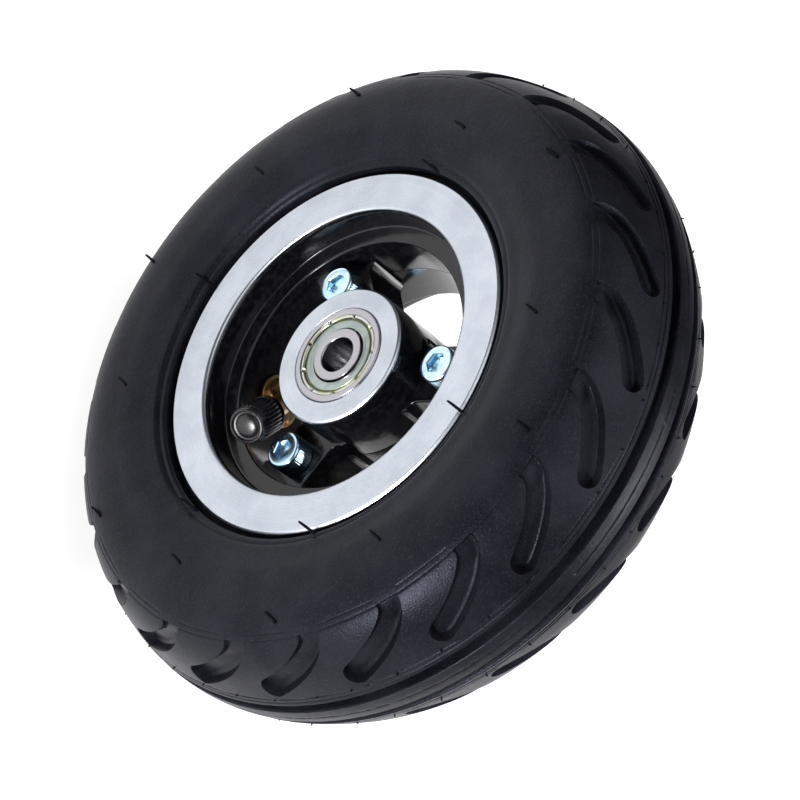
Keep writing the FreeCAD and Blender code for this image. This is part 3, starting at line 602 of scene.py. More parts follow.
def tread_rows():
    """The places along the section, crown to bead, where the mesh has a row."""
    line = np.array([-2, -1, 0, 1, 2]) * LINE_HALF
    groove = [GROOVE_NEAR - 0.15, *(GROOVE_NEAR + np.array([0, 0.1, 0.35, 0.6]))]
    groove += [(GROOVE_NEAR + GROOVE_FAR) / 2]
    groove += [*(GROOVE_FAR - np.array([0.8, 0.5, 0.15, 0])), GROOVE_FAR + 0.12]
    rows = [0, LINE_HALF, 2 * LINE_HALF, 1.2, 2.0, *groove, *(INNER_LINE + line), *(EDGE_LINE + line)]
    tip_end = SLOT_TIP + 2 * SLOT_TIP_HALF
    rows += [*np.arange(SLOT_TIP - 0.02, tip_end, TIP_STEP), *np.arange(tip_end, SLOT_END - 0.3, RUN_STEP)]
    rows += [SLOT_END - 0.02, SLOT_END + 0.12]
    for middle in SHOULDER_LINES:
        rows += list(middle + line)
    rows += list(np.arange(SHOULDER_LINES[1] + 1.0, ALONG[-1] - 3.2, SIDE_STEP))
    rows += list(np.linspace(ALONG[-1] - 3.0, ALONG[-1], 9))
    rows = np.unique(np.round(rows, 4))
    return rows[np.concatenate([[True], np.diff(rows) > 0.05])]


def groove_depth(rows):
    near = [GROOVE_NEAR - 0.1, GROOVE_NEAR + 0.02, GROOVE_NEAR + 0.35]
    far = [GROOVE_FAR - 0.5, GROOVE_FAR - 0.12, GROOVE_FAR + 0.1]
    return np.interp(rows, near + far, [0, 0.15, GROOVE_DEPTH, GROOVE_DEPTH, 0.25, 0])


def line_depth(rows, middle):
    return np.interp(np.abs(rows - middle), [0, LINE_HALF, 2 * LINE_HALF], [LINE_DEPTH, 0.04, 0])


# The raised rings on the sidewall: distance from the bead, half width and height.
BEAD_RINGS = ((0.9, 0.45, 0.3), (2.9, 1.3, 0.4), (9.5, 1.8, 0.2))


def bead_rise(rows):
    rise = np.zeros_like(rows)
    for back, half, height in BEAD_RINGS:
        rise += height * np.clip(1 - ((rows - ALONG[-1] + back) / half) ** 2, 0, 1)
    return rise


WALL_STEPS = (0.0, 0.12, 0.5, 0.88, 1.0)
FLOOR_STEPS = (0.15, 0.3, 0.45, 0.6, 0.75, 0.9)
LAND_STEPS = (0.05, 0.27, 0.5, 0.73, 0.95)
# How far a slot's columns spread where it isn't, as shares of the pitch: at the crown, and past its end.
CROWN_SPREAD = 0.22
EVEN_MARKS = (-0.27, -0.16, 0.16, 0.27)
SPREAD_LENGTH = 12.0


def column_angles(rows):
    """Degrees before the slot's tip of each column in one pitch, by row: wall, floor, wall, land."""
    left, right = slot_span(rows, 0.0)
    floor_left, floor_right = slot_span(rows, SLOT_WALL)
    middle = (left + right) / 2
    floor_left = np.where(rows < SLOT_TIP + SLOT_WALL, middle, floor_left)
    floor_right = np.where(rows < SLOT_TIP + SLOT_WALL, middle, floor_right)
    inner = np.clip((SLOT_TIP - rows) / SLOT_TIP, 0, 1) * PITCH * CROWN_SPREAD
    outer = np.clip((rows - SLOT_END) / SPREAD_LENGTH, 0, 1)
    left, right = left - inner, right + inner
    floor_left, floor_right = floor_left - inner * 0.6, floor_right + inner * 0.6
    marks = []
    for mark, share in zip((left, floor_left, floor_right, right), EVEN_MARKS):
        marks.append(mark * (1 - outer) + (middle + PITCH * share) * outer)
    left, floor_left, floor_right, right = marks
    columns = [left + (floor_left - left) * step for step in WALL_STEPS]
    columns += [floor_left + (floor_right - floor_left) * step for step in FLOOR_STEPS]
    columns += [floor_right + (right - floor_right) * step for step in WALL_STEPS]
    columns += [right + (left + PITCH - right) * step for step in LAND_STEPS]
    return np.stack(columns, axis=-1)


def tyre_half_outside():
    """Radius, height and angle of the outside mesh of one half, one row per place along the section."""
    rows = tread_rows()
    columns = column_angles(rows)
    place = np.repeat(rows[:, None], columns.shape[1], axis=1)
    depth = np.maximum(slot_depth(columns, place), groove_depth(place))
    depth = depth + line_depth(place, INNER_LINE) * 0.8
    land = np.arange(columns.shape[1]) >= len(WALL_STEPS) * 2 + len(FLOOR_STEPS)
    for middle in SHOULDER_LINES:
        depth = depth + line_depth(place, middle) * land * 0.6
    depth = np.tile(depth - bead_rise(place), SLOTS)
    dashes = np.random.default_rng(4)
    for middle in (RIB_LINE, EDGE_LINE):
        shown = dashes.uniform(size=depth.shape[1]) > GAP_SHARE
        depth = depth + np.tile(line_depth(place, middle), SLOTS) * shown
    out_radius = -np.interp(rows, ALONG, np.gradient(SECTION_HEIGHT, ALONG))[:, None]
    out_height = np.interp(rows, ALONG, np.gradient(SECTION_RADIUS, ALONG))[:, None]
    radius = np.interp(rows, ALONG, SECTION_RADIUS)[:, None] + depth * out_radius
    height = np.interp(rows, ALONG, SECTION_HEIGHT)[:, None] + depth * out_height
    angle = FIRST_SLOT + columns[:, None, :] + np.arange(SLOTS)[None, :, None] * PITCH
    return radius, height, angle.reshape(len(rows), -1)


def tyre_half_inside(angle):
    """The bead foot and the casing's inside, from the lip's edge to the middle of the tread."""
    corners = [(BEAD_RADIUS - 0.05, 18.6), (BEAD_RADIUS, 16.45), (41.0, 16.2), (38.4, 15.95), (37.1, 15.2)]
    corners += [(36.5, 14.2), (36.5, 12.0), (36.7, 10.4), (37.6, 9.95), (41.5, 11.3), (46.0, 13.6)]
    corners += [(52.0, 17.0), (56.0, 19.2), (59.5, 19.3), (63.0, 16.8), (66.6, 12.3), (68.5, 9.0)]
    corners += [(68.6, 4.0), (68.6, 0.0)]
    radius = np.array([corner[0] for corner in corners])[:, None]
    height = np.array([corner[1] for corner in corners])[:, None]
    shape = (len(corners), len(angle))
    return [np.broadcast_to(array, shape) for array in (radius, height, angle[None, :])]


# Each ring of moulding hairs: its radius, and the hairs' angles, length and half thickness.
HAIRS = (
    (44.0, (57.7, 148.0, 236.4, 5.0, 318.0), 4.0, 0.33),
    (54.2, (83.6, 24.6, 268.7, 145.0, 206.0, 328.0), 3.3, 0.27),
    (62.8, (59.8, 358.9, 119.0, 179.5, 238.0, 299.0), 3.1, 0.33),
)
HAIR_LEAN = Vector((-0.7, 0.0, -0.7))
HAIR_SHAPE = ((-0.15, 1.3), (0.05, 1.15), (0.3, 1.0), (0.65, 0.9), (0.92, 0.75), (1.0, 0.5), (1.02, 0.0))
NICKS = 44
NICK_THICK = 0.16


def hair(shell, foot, aim, length, thick):
    """A moulding hair: a thin stub on the rubber, a little bent, that tapers as HAIR_SHAPE says."""
    axis = np.array(aim) / np.linalg.norm(aim)
    side = np.cross(axis, [0.0, 1.0, 0.0] if abs(axis[1]) < 0.9 else [1.0, 0.0, 0.0])
    side /= np.linalg.norm(side)
    other = np.cross(axis, side)
    turn = turns(8)[:, None]
    rows = []
    for share, width in HAIR_SHAPE:
        middle = foot + axis * share * length + side * share**2 * length * 0.05
        rows.append(middle + width * thick * (np.cos(turn) * side + np.sin(turn) * other))
    rows.insert(0, np.repeat(rows[0].mean(axis=0)[None], len(turn), axis=0))
    shell.grid(np.array(rows))


def on_tread(along, angle, side):
    """A point on the tyre's outside and the outward direction there."""
    angle = math.radians(angle)
    radius = np.interp(along, ALONG, SECTION_RADIUS)
    height = np.interp(along, ALONG, SECTION_HEIGHT)
    run = np.interp(along, ALONG, np.gradient(SECTION_HEIGHT, ALONG))
    rise = np.interp(along, ALONG, np.gradient(SECTION_RADIUS, ALONG))
    return polar(angle, radius, height * side), polar(angle, run, -rise * side)


def add_hairs(shell, side, rng):
    """The hairs of one side, which lie flatter where the tyre is widest, and the nicks along its tread."""
    for ring_radius, angles, length, thick in HAIRS:
        along = np.interp(-ring_radius, -SECTION_RADIUS, ALONG)
        for angle in angles:
            foot, out = on_tread(along, angle, side)
            room = TYRE_REACH - abs(foot[1]) - thick * 1.4
            lift = min(room / length, 0.9)
            aim = np.array(HAIR_LEAN) * math.sqrt(1 - lift**2) + np.array([0, side * lift, 0])
            hair(shell, foot + out * 0.08, aim, length, thick)
    for index in range(NICKS):
        angle = FIRST_SLOT + PITCH * 0.5 * index + rng.uniform(-1.2, 1.2)
        foot, out = on_tread(EDGE_LINE, angle, side)
        lean = polar(math.radians(angle + 90), rng.uniform(-1, 1), 0)
        hair(shell, foot, out + lean, rng.uniform(0.3, 0.6), NICK_THICK)


def make_tyre():
    radius, height, angle = tyre_half_outside()
    in_radius, in_height, in_angle = tyre_half_inside(angle[-1])
    half_radius = np.vstack([radius, in_radius])
    half_height = np.vstack([height, in_height])
    half_angle = np.radians(np.vstack([angle, in_angle]))
    front = polar(half_angle, half_radius, -half_height)
    rear = polar(half_angle, half_radius, half_height)
    loop = np.concatenate([front[::-1], rear[1:-1]])
    shell = Shell()
    shell.grid(loop, loop_rows=True)
    shell.piece("tyre_moulded", "wheel", TYRE_RUBBER, ["tyre"], sharp=38.0)


def make_hairs():
    shell = Shell()
    rng = random.Random(6)
    for side in (FRONT, REAR):
        add_hairs(shell, side, rng)
    shell.piece("tyre_hairs", "wheel", HAIR_RUBBER, sharp=60.0)


# Rim ---------------------------------------------------------------------

WELL_RADIUS = 29.0
WELL_OUTSIDE = 32.2
BARREL_RADIUS = 33.0
STEP_FACE = 12.0
HUB_RADIUS = 15.9
HUB_FACE = 15.5
SPOKE_HALF = 6.5
SPOKE_FACE = 6.0
SPOKE_ROUND = 2.4
SPOKE_EDGE = 0.5
LIP_THICKNESS = 2.4
RIM_BORE = 9.5


def rim_wall(shell, side):
    back = LIP_FACE - LIP_THICKNESS
    corners = [
        (WELL_RADIUS, 0.0, 0.12),
        (WELL_RADIUS, STEP_FACE, 0.5),
        (BARREL_RADIUS, STEP_FACE, 0.5),
        (33.15, LIP_FACE - 1.4, 0.5),
        (33.65, LIP_FACE - 0.35, 0.4),
        (34.35, LIP_FACE, 0.4),
        (LIP_RADIUS - 0.6, LIP_FACE, 0.15),
        (LIP_RADIUS, LIP_FACE - 0.6, 0.25),
        (LIP_RADIUS, back, 0.3),
        (38.2, back - 0.3, 0.4),
        (36.4, back - 2.0, 0.6),
        (36.0, 9.5, 0.8),
        (WELL_OUTSIDE, 7.0, 0.6),
        (WELL_OUTSIDE, 0.0, 0.12),
    ]
    ring(shell, corners, 288, side)


def rim_hub(shell, side):
    corners = [
        (RIM_BORE, 0.0, 0.1),
        (HUB_RADIUS, 0.0, 0.1),
        (HUB_RADIUS, HUB_FACE - 0.5, 0.15),
        (HUB_RADIUS - 0.5, HUB_FACE, 0.15),
        (RING_RADIUS + 0.3, HUB_FACE, 0.08),
        (RING_RADIUS, HUB_FACE - 0.35, 0.08),
        (RING_RADIUS, RING_BACK, 0.1),
        (RIM_BORE, RING_BACK, 0.1),
    ]
    ring(shell, corners, 192, side)


def spoke_half_width(reach):
    """Half a spoke's width at a distance from the axle, flared into the hub and the well."""
    root = math.sqrt(HUB_RADIUS**2 - SPOKE_HALF**2)
    tip = math.sqrt(WELL_RADIUS**2 - SPOKE_HALF**2)
    near = min(reach - root, tip - reach)
    share = min(1.0, max(0.0, 1 - near / SPOKE_ROUND))
    return SPOKE_HALF + SPOKE_ROUND * (1 - math.sqrt(1 - share**2))


def rounded_block(half_width, height):
    """A spoke's section as (height, width) points: from the joint over its face and back."""
    points = [(0.0, half_width)]
    for step in range(6):
        turn = math.pi / 2 * step / 5
        across = half_width - SPOKE_EDGE * (1 - math.cos(turn))
        points.append((height - SPOKE_EDGE * (1 - math.sin(turn)), across))
    points += [(height, half_width * share) for share in (0.8, 0.5, 0.2)]
    mirrored = [(along, -across) for along, across in points]
    return points + mirrored[::-1]


def rim_spokes(shell, side):
    stations = [13.0, 14.55, 14.8, 15.2, 15.7, 16.3, 17.0, 18.5, 21.0]
    stations += [24.0, 25.8, 26.5, 27.1, 27.6, 28.0, 28.25, 30.6]
    for bolt in range(BOLTS):
        angle = math.radians(FIRST_BOLT + 360.0 / BOLTS * bolt)
        out = np.array([math.cos(angle), 0.0, math.sin(angle)])
        across = np.array([-math.sin(angle), 0.0, math.cos(angle)])
        rows = []
        for reach in stations:
            section = rounded_block(spoke_half_width(reach), SPOKE_FACE)
            middle = out * reach
            rows.append([middle + across * wide + np.array([0, along * side, 0]) for along, wide in section])
        rows.insert(0, [out * stations[0]] * len(section))
        rows.append([out * stations[-1]] * len(section))
        shell.grid(np.array(rows))


def make_rim(side, name, node):
    shell = Shell()
    rim_wall(shell, side)
    rim_hub(shell, side)
    rim_spokes(shell, side)
    shell.piece(name, "wheel", RIM_METAL, [node], sharp=40.0)


# Bearings ----------------------------------------------------------------


def notched(height, drop):
    """A height that falls by the drop at each evenly spaced notch."""

    def at(angle):
        spacing = 2 * math.pi / NOTCHES
        away = np.abs((angle - FIRST_NOTCH + spacing / 2) % spacing - spacing / 2)
        return height - drop * np.clip(2.0 - away / NOTCH_HALF, 0, 1)

    return at


def bearing_rings(side, place):
    low, top = RING_BACK, RING_FACE
    shell = Shell()
    corners = [(9.35, low + 0.7, 0), (9.75, low + 0.7, 0), (9.75, low, 0.05), (RING_RADIUS, low, 0.3)]
    corners += [(RING_RADIUS, top, 0.35), (9.75, top, 0.08), (9.5, top - 0.16, 0.05)]
    corners += [(9.5, top - 0.7, 0), (9.35, top - 0.7, 0)]
    ring(shell, corners, 160, side)
    node = place + "_bearing_outer_ring"
    shell.piece(place + "_outer_ring_turned", "wheel", RING_STEEL, [node])
    shell = Shell()
    corners = [(4.0, low, 0.1), (6.05, low, 0.1), (6.05, top, 0.12), (4.0, top, 0.45)]
    ring(shell, corners, 128, side)
    node = place + "_bearing_inner_ring"
    shell.piece(place + "_inner_ring_turned", "axle_rings", RING_STEEL, [node])


def bearing_shield(side, place):
    """The pressed outside shield, its rim crimped into the outer ring at evenly spaced notches."""
    # Radius, depth below the ring's face, and how much deeper it lies at a notch.
    crimp = [(9.49, 0.66, 0), (9.49, 0.34, 0.3), (9.43, 0.20, 0.44), (9.30, 0.13, 0.5), (9.08, 0.14, 0.48)]
    crimp += [(8.90, 0.22, 0.4), (8.78, 0.38, 0.24), (8.72, 0.63, 0), (8.34, 0.64, 0), (8.24, 0.5, 0)]
    plate = [(8.12, 0.43), (7.3, 0.41), (7.16, 0.35), (7.02, 0.41), (6.62, 0.42), (6.48, 0.46)]
    plate += [(6.42, 0.56), (6.42, 0.66), (7.6, 0.66), (8.2, 0.7), (8.9, 0.7)]
    rows = [(radius, notched(RING_FACE - depth, notch)) for radius, depth, notch in crimp]
    rows += [(radius, RING_FACE - depth) for radius, depth in plate]
    shell = Shell()
    shell.grid(spun(rows, 432, polar, side), loop_rows=True)
    node = place + "_bearing_outside_shield"
    shell.piece(place + "_shield_crimped", "wheel", SHIELD_METAL, [node])


def make_bearings():
    for side, place in ((FRONT, "front"), (REAR, "rear")):
        bearing_rings(side, place)
        bearing_shield(side, place)


# Screws and nuts ---------------------------------------------------------

HEAD_RADIUS = 4.25
HEAD_HEIGHT = 5.0
SOCKET_WIDTH = 4.0
SOCKET_DEPTH = 1.7
NUT_WIDTH = 8.0
KNURLS = 44
SCREW_TURN = 17.0
SCREW_TURN_STEP = 41.0


def hexagon(width):
    """The radius of a hexagon of the given width across its flats."""

    def at(angle):
        away = angle % (math.pi / 3) - math.pi / 6
        return width / 2 / np.cos(away)

    return at


def no_more_than(shape, limit):
    return lambda angle: np.minimum(shape(angle), limit)


def knurled(radius, depth, count):
    return lambda angle: radius - depth * (0.5 - 0.5 * np.cos(angle * count)) ** 2


def bolt_places():
    """Frames on the bolt circle with +Z along the axle towards the front."""
    for bolt in range(BOLTS):
        angle = math.radians(FIRST_BOLT + 360.0 / BOLTS * bolt)
        centre = Vector((BOLT_CIRCLE * math.cos(angle), 0, BOLT_CIRCLE * math.sin(angle)))
        spin = Matrix.Rotation(math.radians(SCREW_TURN + SCREW_TURN_STEP * bolt), 4, "Z")
        yield Matrix.Translation(centre) @ Matrix.Rotation(math.pi / 2, 4, "X") @ spin


def screw_rows():
    seat, top = -SCREW_START - HEAD_HEIGHT, -SCREW_START
    ribs = knurled(HEAD_RADIUS, 0.07, KNURLS)
    socket = hexagon(SOCKET_WIDTH)
    chamfer = hexagon(SOCKET_WIDTH + 0.3)
    rows = [(0.0, -SCREW_END), (2.1, -SCREW_END), (2.5, -SCREW_END + 0.4), (2.5, seat)]
    rows += [(HEAD_RADIUS - 0.25, seat), (HEAD_RADIUS, seat + 0.2), (ribs, seat + 0.5), (ribs, seat + 2.0)]
    rows += [(ribs, top - 1.0), (HEAD_RADIUS, top - 0.75), (HEAD_RADIUS - 0.08, top - 0.45)]
    rows += [(HEAD_RADIUS - 0.3, top - 0.16), (HEAD_RADIUS - 0.62, top), (3.2, top), (2.75, top)]
    rows += [(no_more_than(chamfer, 2.6), top), (no_more_than(socket, 2.6), top - 0.2), (socket, top - 0.5)]
    rows += [(socket, top - SOCKET_DEPTH), (1.2, top - SOCKET_DEPTH - 0.3), (0.0, top - SOCKET_DEPTH - 0.8)]
    return rows


def make_screws():
    shell = Shell()
    for place in bolt_places():
        shell.grid(spun(screw_rows(), 264, upright), place=place)
    shell.piece("rim_screws_socket", "wheel", ZINC, ["rim_screws"], sharp=35.0)


def make_nuts():
    shell = Shell()
    edge = hexagon(NUT_WIDTH)
    round_edge = no_more_than(edge, NUT_WIDTH / 2)
    low, high = -NUT_END, -NUT_START
    rows = [(2.52, high), (2.9, high), (round_edge, high), (edge, high - 0.3), (edge, low + 0.3)]
    rows += [(round_edge, low), (2.9, low), (2.52, low + 0.3)]
    for place in bolt_places():
        shell.grid(spun(rows, 96, upright), loop_rows=True, place=place)
    shell.piece("rim_nuts_hexagon", "wheel", ZINC, ["rim_nuts"], sharp=30.0)


# Valve -------------------------------------------------------------------

JOINTS = {joint["name"]: joint for joint in frame["joints"]}
VALVE_AXIS = Vector(JOINTS["cap_turn"]["axis"]).normalized()
ON_AXIS = Vector(JOINTS["cap_turn"]["pos_m"]) / MM
CORNER = ON_AXIS - VALVE_AXIS * (ON_AXIS.y / VALVE_AXIS.y)
OUTWARDS = CORNER.normalized()
BEND_RADIUS = 2.7
STEM_RADIUS = 2.45
LEG_END = 33.85
WASHER_SEAT = 28.3
WASHER_RADIUS = 6.0
WASHER_THICKNESS = 0.6
STEM_NUT_WIDTH = 9.0
STEM_NUT_HEIGHT = 1.4
STEM_NUT_ROUND = 4.6
THREAD_START = 13.2
THREAD_RADIUS = 3.85
THREAD_PITCH = 0.794
THREAD_DEPTH = 0.35
STEM_TOP = 23.0
CHAMBER_RADIUS = 1.75
CHAMBER_START = 9.6
CAP_START = 14.2
CAP_TOP = 25.1
CAP_RADIUS = 4.3
CAP_BORE = 3.9
CAP_CEILING = 23.6
CAP_RIBS = 30
SPRING_FOOT = 12.95
SPRING_TOP = 19.55
SPRING_RADIUS = 0.75
SPRING_WIRE = 0.13
SPRING_TURNS = 8


def frame_along(axis, origin):
    """A frame at the origin with +Z along the axis."""
    turn = axis.to_track_quat("Z", "Y").to_matrix().to_4x4()
    return Matrix.Translation(origin) @ turn


def stem_route():
    """The stem's centre line from the tube to the thread: straight, a tangent arc, straight."""
    angle = math.pi - OUTWARDS.angle(VALVE_AXIS)
    reach = BEND_RADIUS / math.tan((math.pi - angle) / 2)
    start, end = CORNER + OUTWARDS * reach, CORNER + VALVE_AXIS * reach
    centre = CORNER + (OUTWARDS + VALVE_AXIS).normalized() * (BEND_RADIUS / math.cos(angle / 2))
    points = [OUTWARDS * LEG_END, OUTWARDS * WASHER_SEAT, OUTWARDS * (WASHER_SEAT - 2)]
    for step in range(13):
        turn = (start - centre).slerp(end - centre, step / 12)
        points.append(centre + turn)
    points.append(CORNER + VALVE_AXIS * THREAD_START)
    return points


def threaded(radius, depth, height):
    """The radius of a screw thread at a height, which climbs one pitch for each turn."""

    def at(angle):
        phase = (height / THREAD_PITCH - angle / (2 * math.pi)) % 1.0
        return radius - depth * np.abs(phase - 0.5) * 2

    return at


def make_stem():
    shell = Shell()
    route = stem_route()
    rows = []
    side = OUTWARDS.cross(VALVE_AXIS).normalized()
    for index, point in enumerate(route):
        ahead = route[min(index + 1, len(route) - 1)] - route[max(index - 1, 0)]
        other = side.cross(ahead.normalized())
        rows.append([point + (side * math.cos(a) + other * math.sin(a)) * STEM_RADIUS for a in turns(48)])
    rows.insert(0, [route[0]] * 48)
    rows.append([route[-1]] * 48)
    shell.grid(np.array(rows))
    heights = np.arange(THREAD_START + 0.6, STEM_TOP - 0.5, THREAD_PITCH / 8)
    thread = [(0.0, THREAD_START), (3.2, THREAD_START), (3.5, THREAD_START + 0.3)]
    thread += [(threaded(THREAD_RADIUS, THREAD_DEPTH, height), height) for height in heights]
    thread += [(3.4, STEM_TOP - 0.2), (3.2, STEM_TOP), (CHAMBER_RADIUS + 0.2, STEM_TOP)]
    thread += [(CHAMBER_RADIUS, STEM_TOP - 0.2), (CHAMBER_RADIUS, CHAMBER_START), (0.0, CHAMBER_START)]
    shell.grid(spun(thread, 96, upright), place=frame_along(VALVE_AXIS, CORNER))
    shell.piece("valve_stem_bent", "wheel", BRASS, ["valve_stem"], sharp=35.0)


def make_stem_washer_and_nut():
    place = frame_along(OUTWARDS, Vector((0, 0, 0)))
    shell = Shell()
    low, high = WASHER_SEAT - WASHER_THICKNESS, WASHER_SEAT
    bore = STEM_RADIUS + 0.05
    corners = [(bore, low, 0.1), (bore, high, 0.1), (WASHER_RADIUS, high, 0.15), (WASHER_RADIUS, low, 0.22)]
    ring(shell, corners, 96, 1, place, upright)
    shell.piece("valve_washer_turned", "wheel", BRASS, ["valve_washer"], sharp=35.0)
    shell = Shell()
    edge = hexagon(STEM_NUT_WIDTH)
    round_edge = no_more_than(edge, STEM_NUT_ROUND)
    base = low - STEM_NUT_HEIGHT
    rows = [(bore, low), (round_edge, low), (edge, low - 0.2), (edge, base + 0.2), (round_edge, base)]
    rows += [(bore, base)]
    shell.grid(spun(rows, 96, upright), loop_rows=True, place=place)
    shell.piece("valve_nut_hexagon", "wheel", BRASS, ["valve_nut"], sharp=30.0)


def make_core_spring():
    """The core's coil spring, its end turns closed, which shortens as the pin is pressed."""
    low, high = SPRING_FOOT + SPRING_WIRE, SPRING_TOP - SPRING_WIRE
    closed = SPRING_WIRE * 2.1
    section = turns(12)
    rows = []
    heights = [low, low + closed, high - closed, high]
    for turn in np.linspace(0, SPRING_TURNS, SPRING_TURNS * 32 + 1):
        height = np.interp(turn, [0, 1, SPRING_TURNS - 1, SPRING_TURNS], heights)
        reach = SPRING_RADIUS + SPRING_WIRE * np.cos(section)
        rows.append(upright(turn * 2 * math.pi, reach, height + SPRING_WIRE * np.sin(section)))
    for end, place in ((rows[0], 0), (rows[-1], len(rows) + 1)):
        rows.insert(place, np.repeat(end.mean(axis=0)[None], len(section), axis=0))
    shell = Shell()
    shell.grid(np.array(rows), place=frame_along(VALVE_AXIS, CORNER))
    node = "valve_core_spring"
    spring = shell.piece("valve_core_spring_wound", "wheel", WIRE_STEEL, [node], sharp=60.0)
    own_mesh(spring)


def make_cap():
    """The cap: a ribbed skirt, a plain collar at its mouth, and a raised rim around a domed end."""
    ribs = knurled(CAP_RADIUS, 0.28, CAP_RIBS)
    mouth = [(0.15, 0.0), (0.0, 0.15), (0.0, 1.3), (0.1, 1.45)]
    rim = [(0.22, 1.6), (0.3, 0.9), (0.42, 0.3), (0.65, 0.08), (0.9, 0.06), (1.1, 0.25), (1.2, 0.75)]
    rows = [(CAP_BORE, CAP_START)]
    rows += [(CAP_RADIUS - inset, CAP_START + rise) for inset, rise in mouth]
    rows += [(ribs, CAP_START + 1.75), (ribs, CAP_START + 4.0), (ribs, CAP_TOP - 2.6)]
    rows.append((knurled(CAP_RADIUS - 0.06, 0.2, CAP_RIBS), CAP_TOP - 1.9))
    rows += [(CAP_RADIUS - inset, CAP_TOP - drop) for inset, drop in rim]
    rows.append((2.75, CAP_TOP - 0.8))
    for turn in np.radians([12, 30, 50, 70, 84]):
        rows.append((2.7 * math.cos(turn), CAP_TOP - 0.8 + 0.75 * math.sin(turn)))
    rows.append((0.0, CAP_TOP - 0.05))
    inside = [(0.0, CAP_CEILING), (CAP_BORE - 0.2, CAP_CEILING), (CAP_BORE, CAP_CEILING - 0.2)]
    shell = Shell()
    shell.grid(spun(rows, 360, upright), place=frame_along(VALVE_AXIS, CORNER))
    shell.grid(spun([*inside, (CAP_BORE, CAP_START)], 360, upright), place=frame_along(VALVE_AXIS, CORNER))
    shell.piece("valve_cap_ribbed", "cap", CAP_PLASTIC, ["valve_cap"], sharp=40.0)


# Pieces that keep their CAD shape ----------------------------------------

CARRIED_OVER = {
    "inner_tube": TUBE_RUBBER,
    "valve_base": VALVE_RUBBER,
    "valve_cap_seal": VALVE_RUBBER,
    "bearing_spacer": SPACER_METAL,
    "valve_core_body": BRASS,
    "valve_core_pin": WIRE_STEEL,
}
for bearing in ("front_bearing_", "rear_bearing_"):
    CARRIED_OVER[bearing + "inside_shield"] = SHIELD_METAL
    CARRIED_OVER[bearing + "cage"] = CAGE_STEEL
    CARRIED_OVER[bearing + "balls"] = BALL_STEEL


def finish_carried_over():
    for name, material in CARRIED_OVER.items():
        thing = frame["nodes"][name]
        thing.data.materials.clear()
        thing.data.materials.append(material)


# Studio ------------------------------------------------------------------

FLOOR_HALF = 4.0


def make_floor():
    sides = ((-1, -1), (1, -1), (1, 1), (-1, 1))
    mesh = bpy.data.meshes.new("floor")
    corners = [(FLOOR_HALF * across, FLOOR_HALF * along, cad_bounds[0].z) for across, along in sides]
    mesh.from_pydata(corners, [], [(0, 1, 2, 3)])
    floor = bpy.data.objects.new("floor", mesh)
    bpy.context.scene.collection.objects.link(floor)
    floor.data.materials.append(floor_finish())


def soft_light(name, direction, distance, size, power):
    """A square soft light that looks at the wheel from a direction."""
    data = bpy.data.lights.new(name, "AREA")
    data.shape = "RECTANGLE"
    data.size, data.size_y = size
    data.energy = power
    light = bpy.data.objects.new(name, data)
    light.location = Vector(direction).normalized() * distance
    light.rotation_mode = "QUATERNION"
    light.rotation_quaternion = light.location.to_track_quat("Z", "Y")
    bpy.context.scene.collection.objects.link(light)


# From here on lengths are in metres. Lamps are in watts, and the sky and the backdrop are strengths.
SKY = 0.12
BACKDROP = 0.86
OVERHEAD = 17.0
LOW_RIGHT = 6.0
BACK = 5.0
POOL = 12.0
POOL_PLACE = Vector((0.05, -0.135, 0.9))
POOL_SPREAD = 13.0


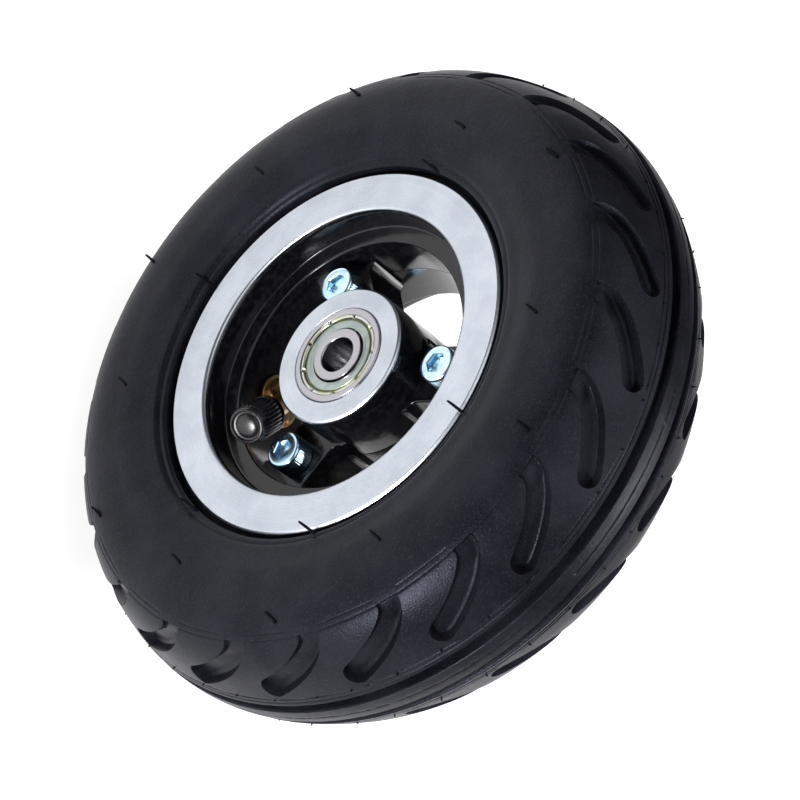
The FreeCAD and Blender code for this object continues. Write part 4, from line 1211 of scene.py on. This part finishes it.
def make_sky():
    """A dim, even light from all round, in front of a pale backdrop."""
    world = bpy.data.worlds.new("studio")
    bpy.context.scene.world = world
    world.use_nodes = True
    background = world.node_tree.nodes["Background"]
    background.inputs["Color"].default_value = (1.0, 1.0, 1.0, 1.0)
    seen = world.node_tree.nodes.new("ShaderNodeLightPath").outputs["Is Camera Ray"]
    strength = world.node_tree.nodes.new("ShaderNodeMapRange")
    strength.inputs["To Min"].default_value = SKY
    strength.inputs["To Max"].default_value = BACKDROP
    world.node_tree.links.new(seen, strength.inputs["Value"])
    world.node_tree.links.new(strength.outputs[0], background.inputs["Strength"])


CAMERA_PLACE = Vector((0.2227, -0.3293, 0.2660))
CAMERA_RIGHT = Vector((-0.1113, 0.5696, 0.8144))
CAMERA_FORWARD = Vector((-0.4615, 0.6962, -0.5499))
LENS = 100.0
SENSOR_WIDTH = 36.0


def make_camera():
    """The camera looks down at the front from the right, rolled so that +Z points right in the picture."""
    data = bpy.data.cameras.new("camera")
    data.lens = LENS
    data.sensor_width = SENSOR_WIDTH
    data.clip_start = 0.01
    data.clip_end = 20.0
    forward = CAMERA_FORWARD.normalized()
    right = (CAMERA_RIGHT - forward * CAMERA_RIGHT.dot(forward)).normalized()
    up = right.cross(forward)
    turn = Matrix((right, up, -forward)).transposed().to_4x4()
    camera = bpy.data.objects.new("camera", data)
    camera.matrix_world = Matrix.Translation(CAMERA_PLACE) @ turn
    bpy.context.scene.collection.objects.link(camera)
    bpy.context.scene.camera = camera


def soft_pool():
    """A soft spot straight down on the floor in front of the wheel, which the rubber picks up as a sheen."""
    data = bpy.data.lights.new("pool", "SPOT")
    data.energy = POOL
    data.spot_size = math.radians(POOL_SPREAD)
    data.spot_blend = 1.0
    data.shadow_soft_size = 0.05
    light = bpy.data.objects.new("pool", data)
    light.location = POOL_PLACE
    bpy.context.scene.collection.objects.link(light)


def make_lights():
    make_sky()
    soft_pool()
    soft_light("overhead", (0.1, -0.1, 1.0), 1.3, (1.8, 1.8), OVERHEAD)
    soft_light("low_right", (0.62, -0.46, 0.02), 0.75, (0.25, 0.12), LOW_RIGHT)
    soft_light("back", (0.25, 0.7, 0.68), 1.0, (0.5, 0.3), BACK)


make_tyre()
make_hairs()
make_rim(FRONT, "rim_front_cast", "rim_front_half")
make_rim(REAR, "rim_rear_cast", "rim_rear_half")
make_bearings()
make_screws()
make_nuts()
make_stem()
make_stem_washer_and_nut()
make_core_spring()
make_cap()
finish_carried_over()
make_floor()
make_lights()
make_camera()
bpy.context.scene.view_settings.view_transform = "Standard"
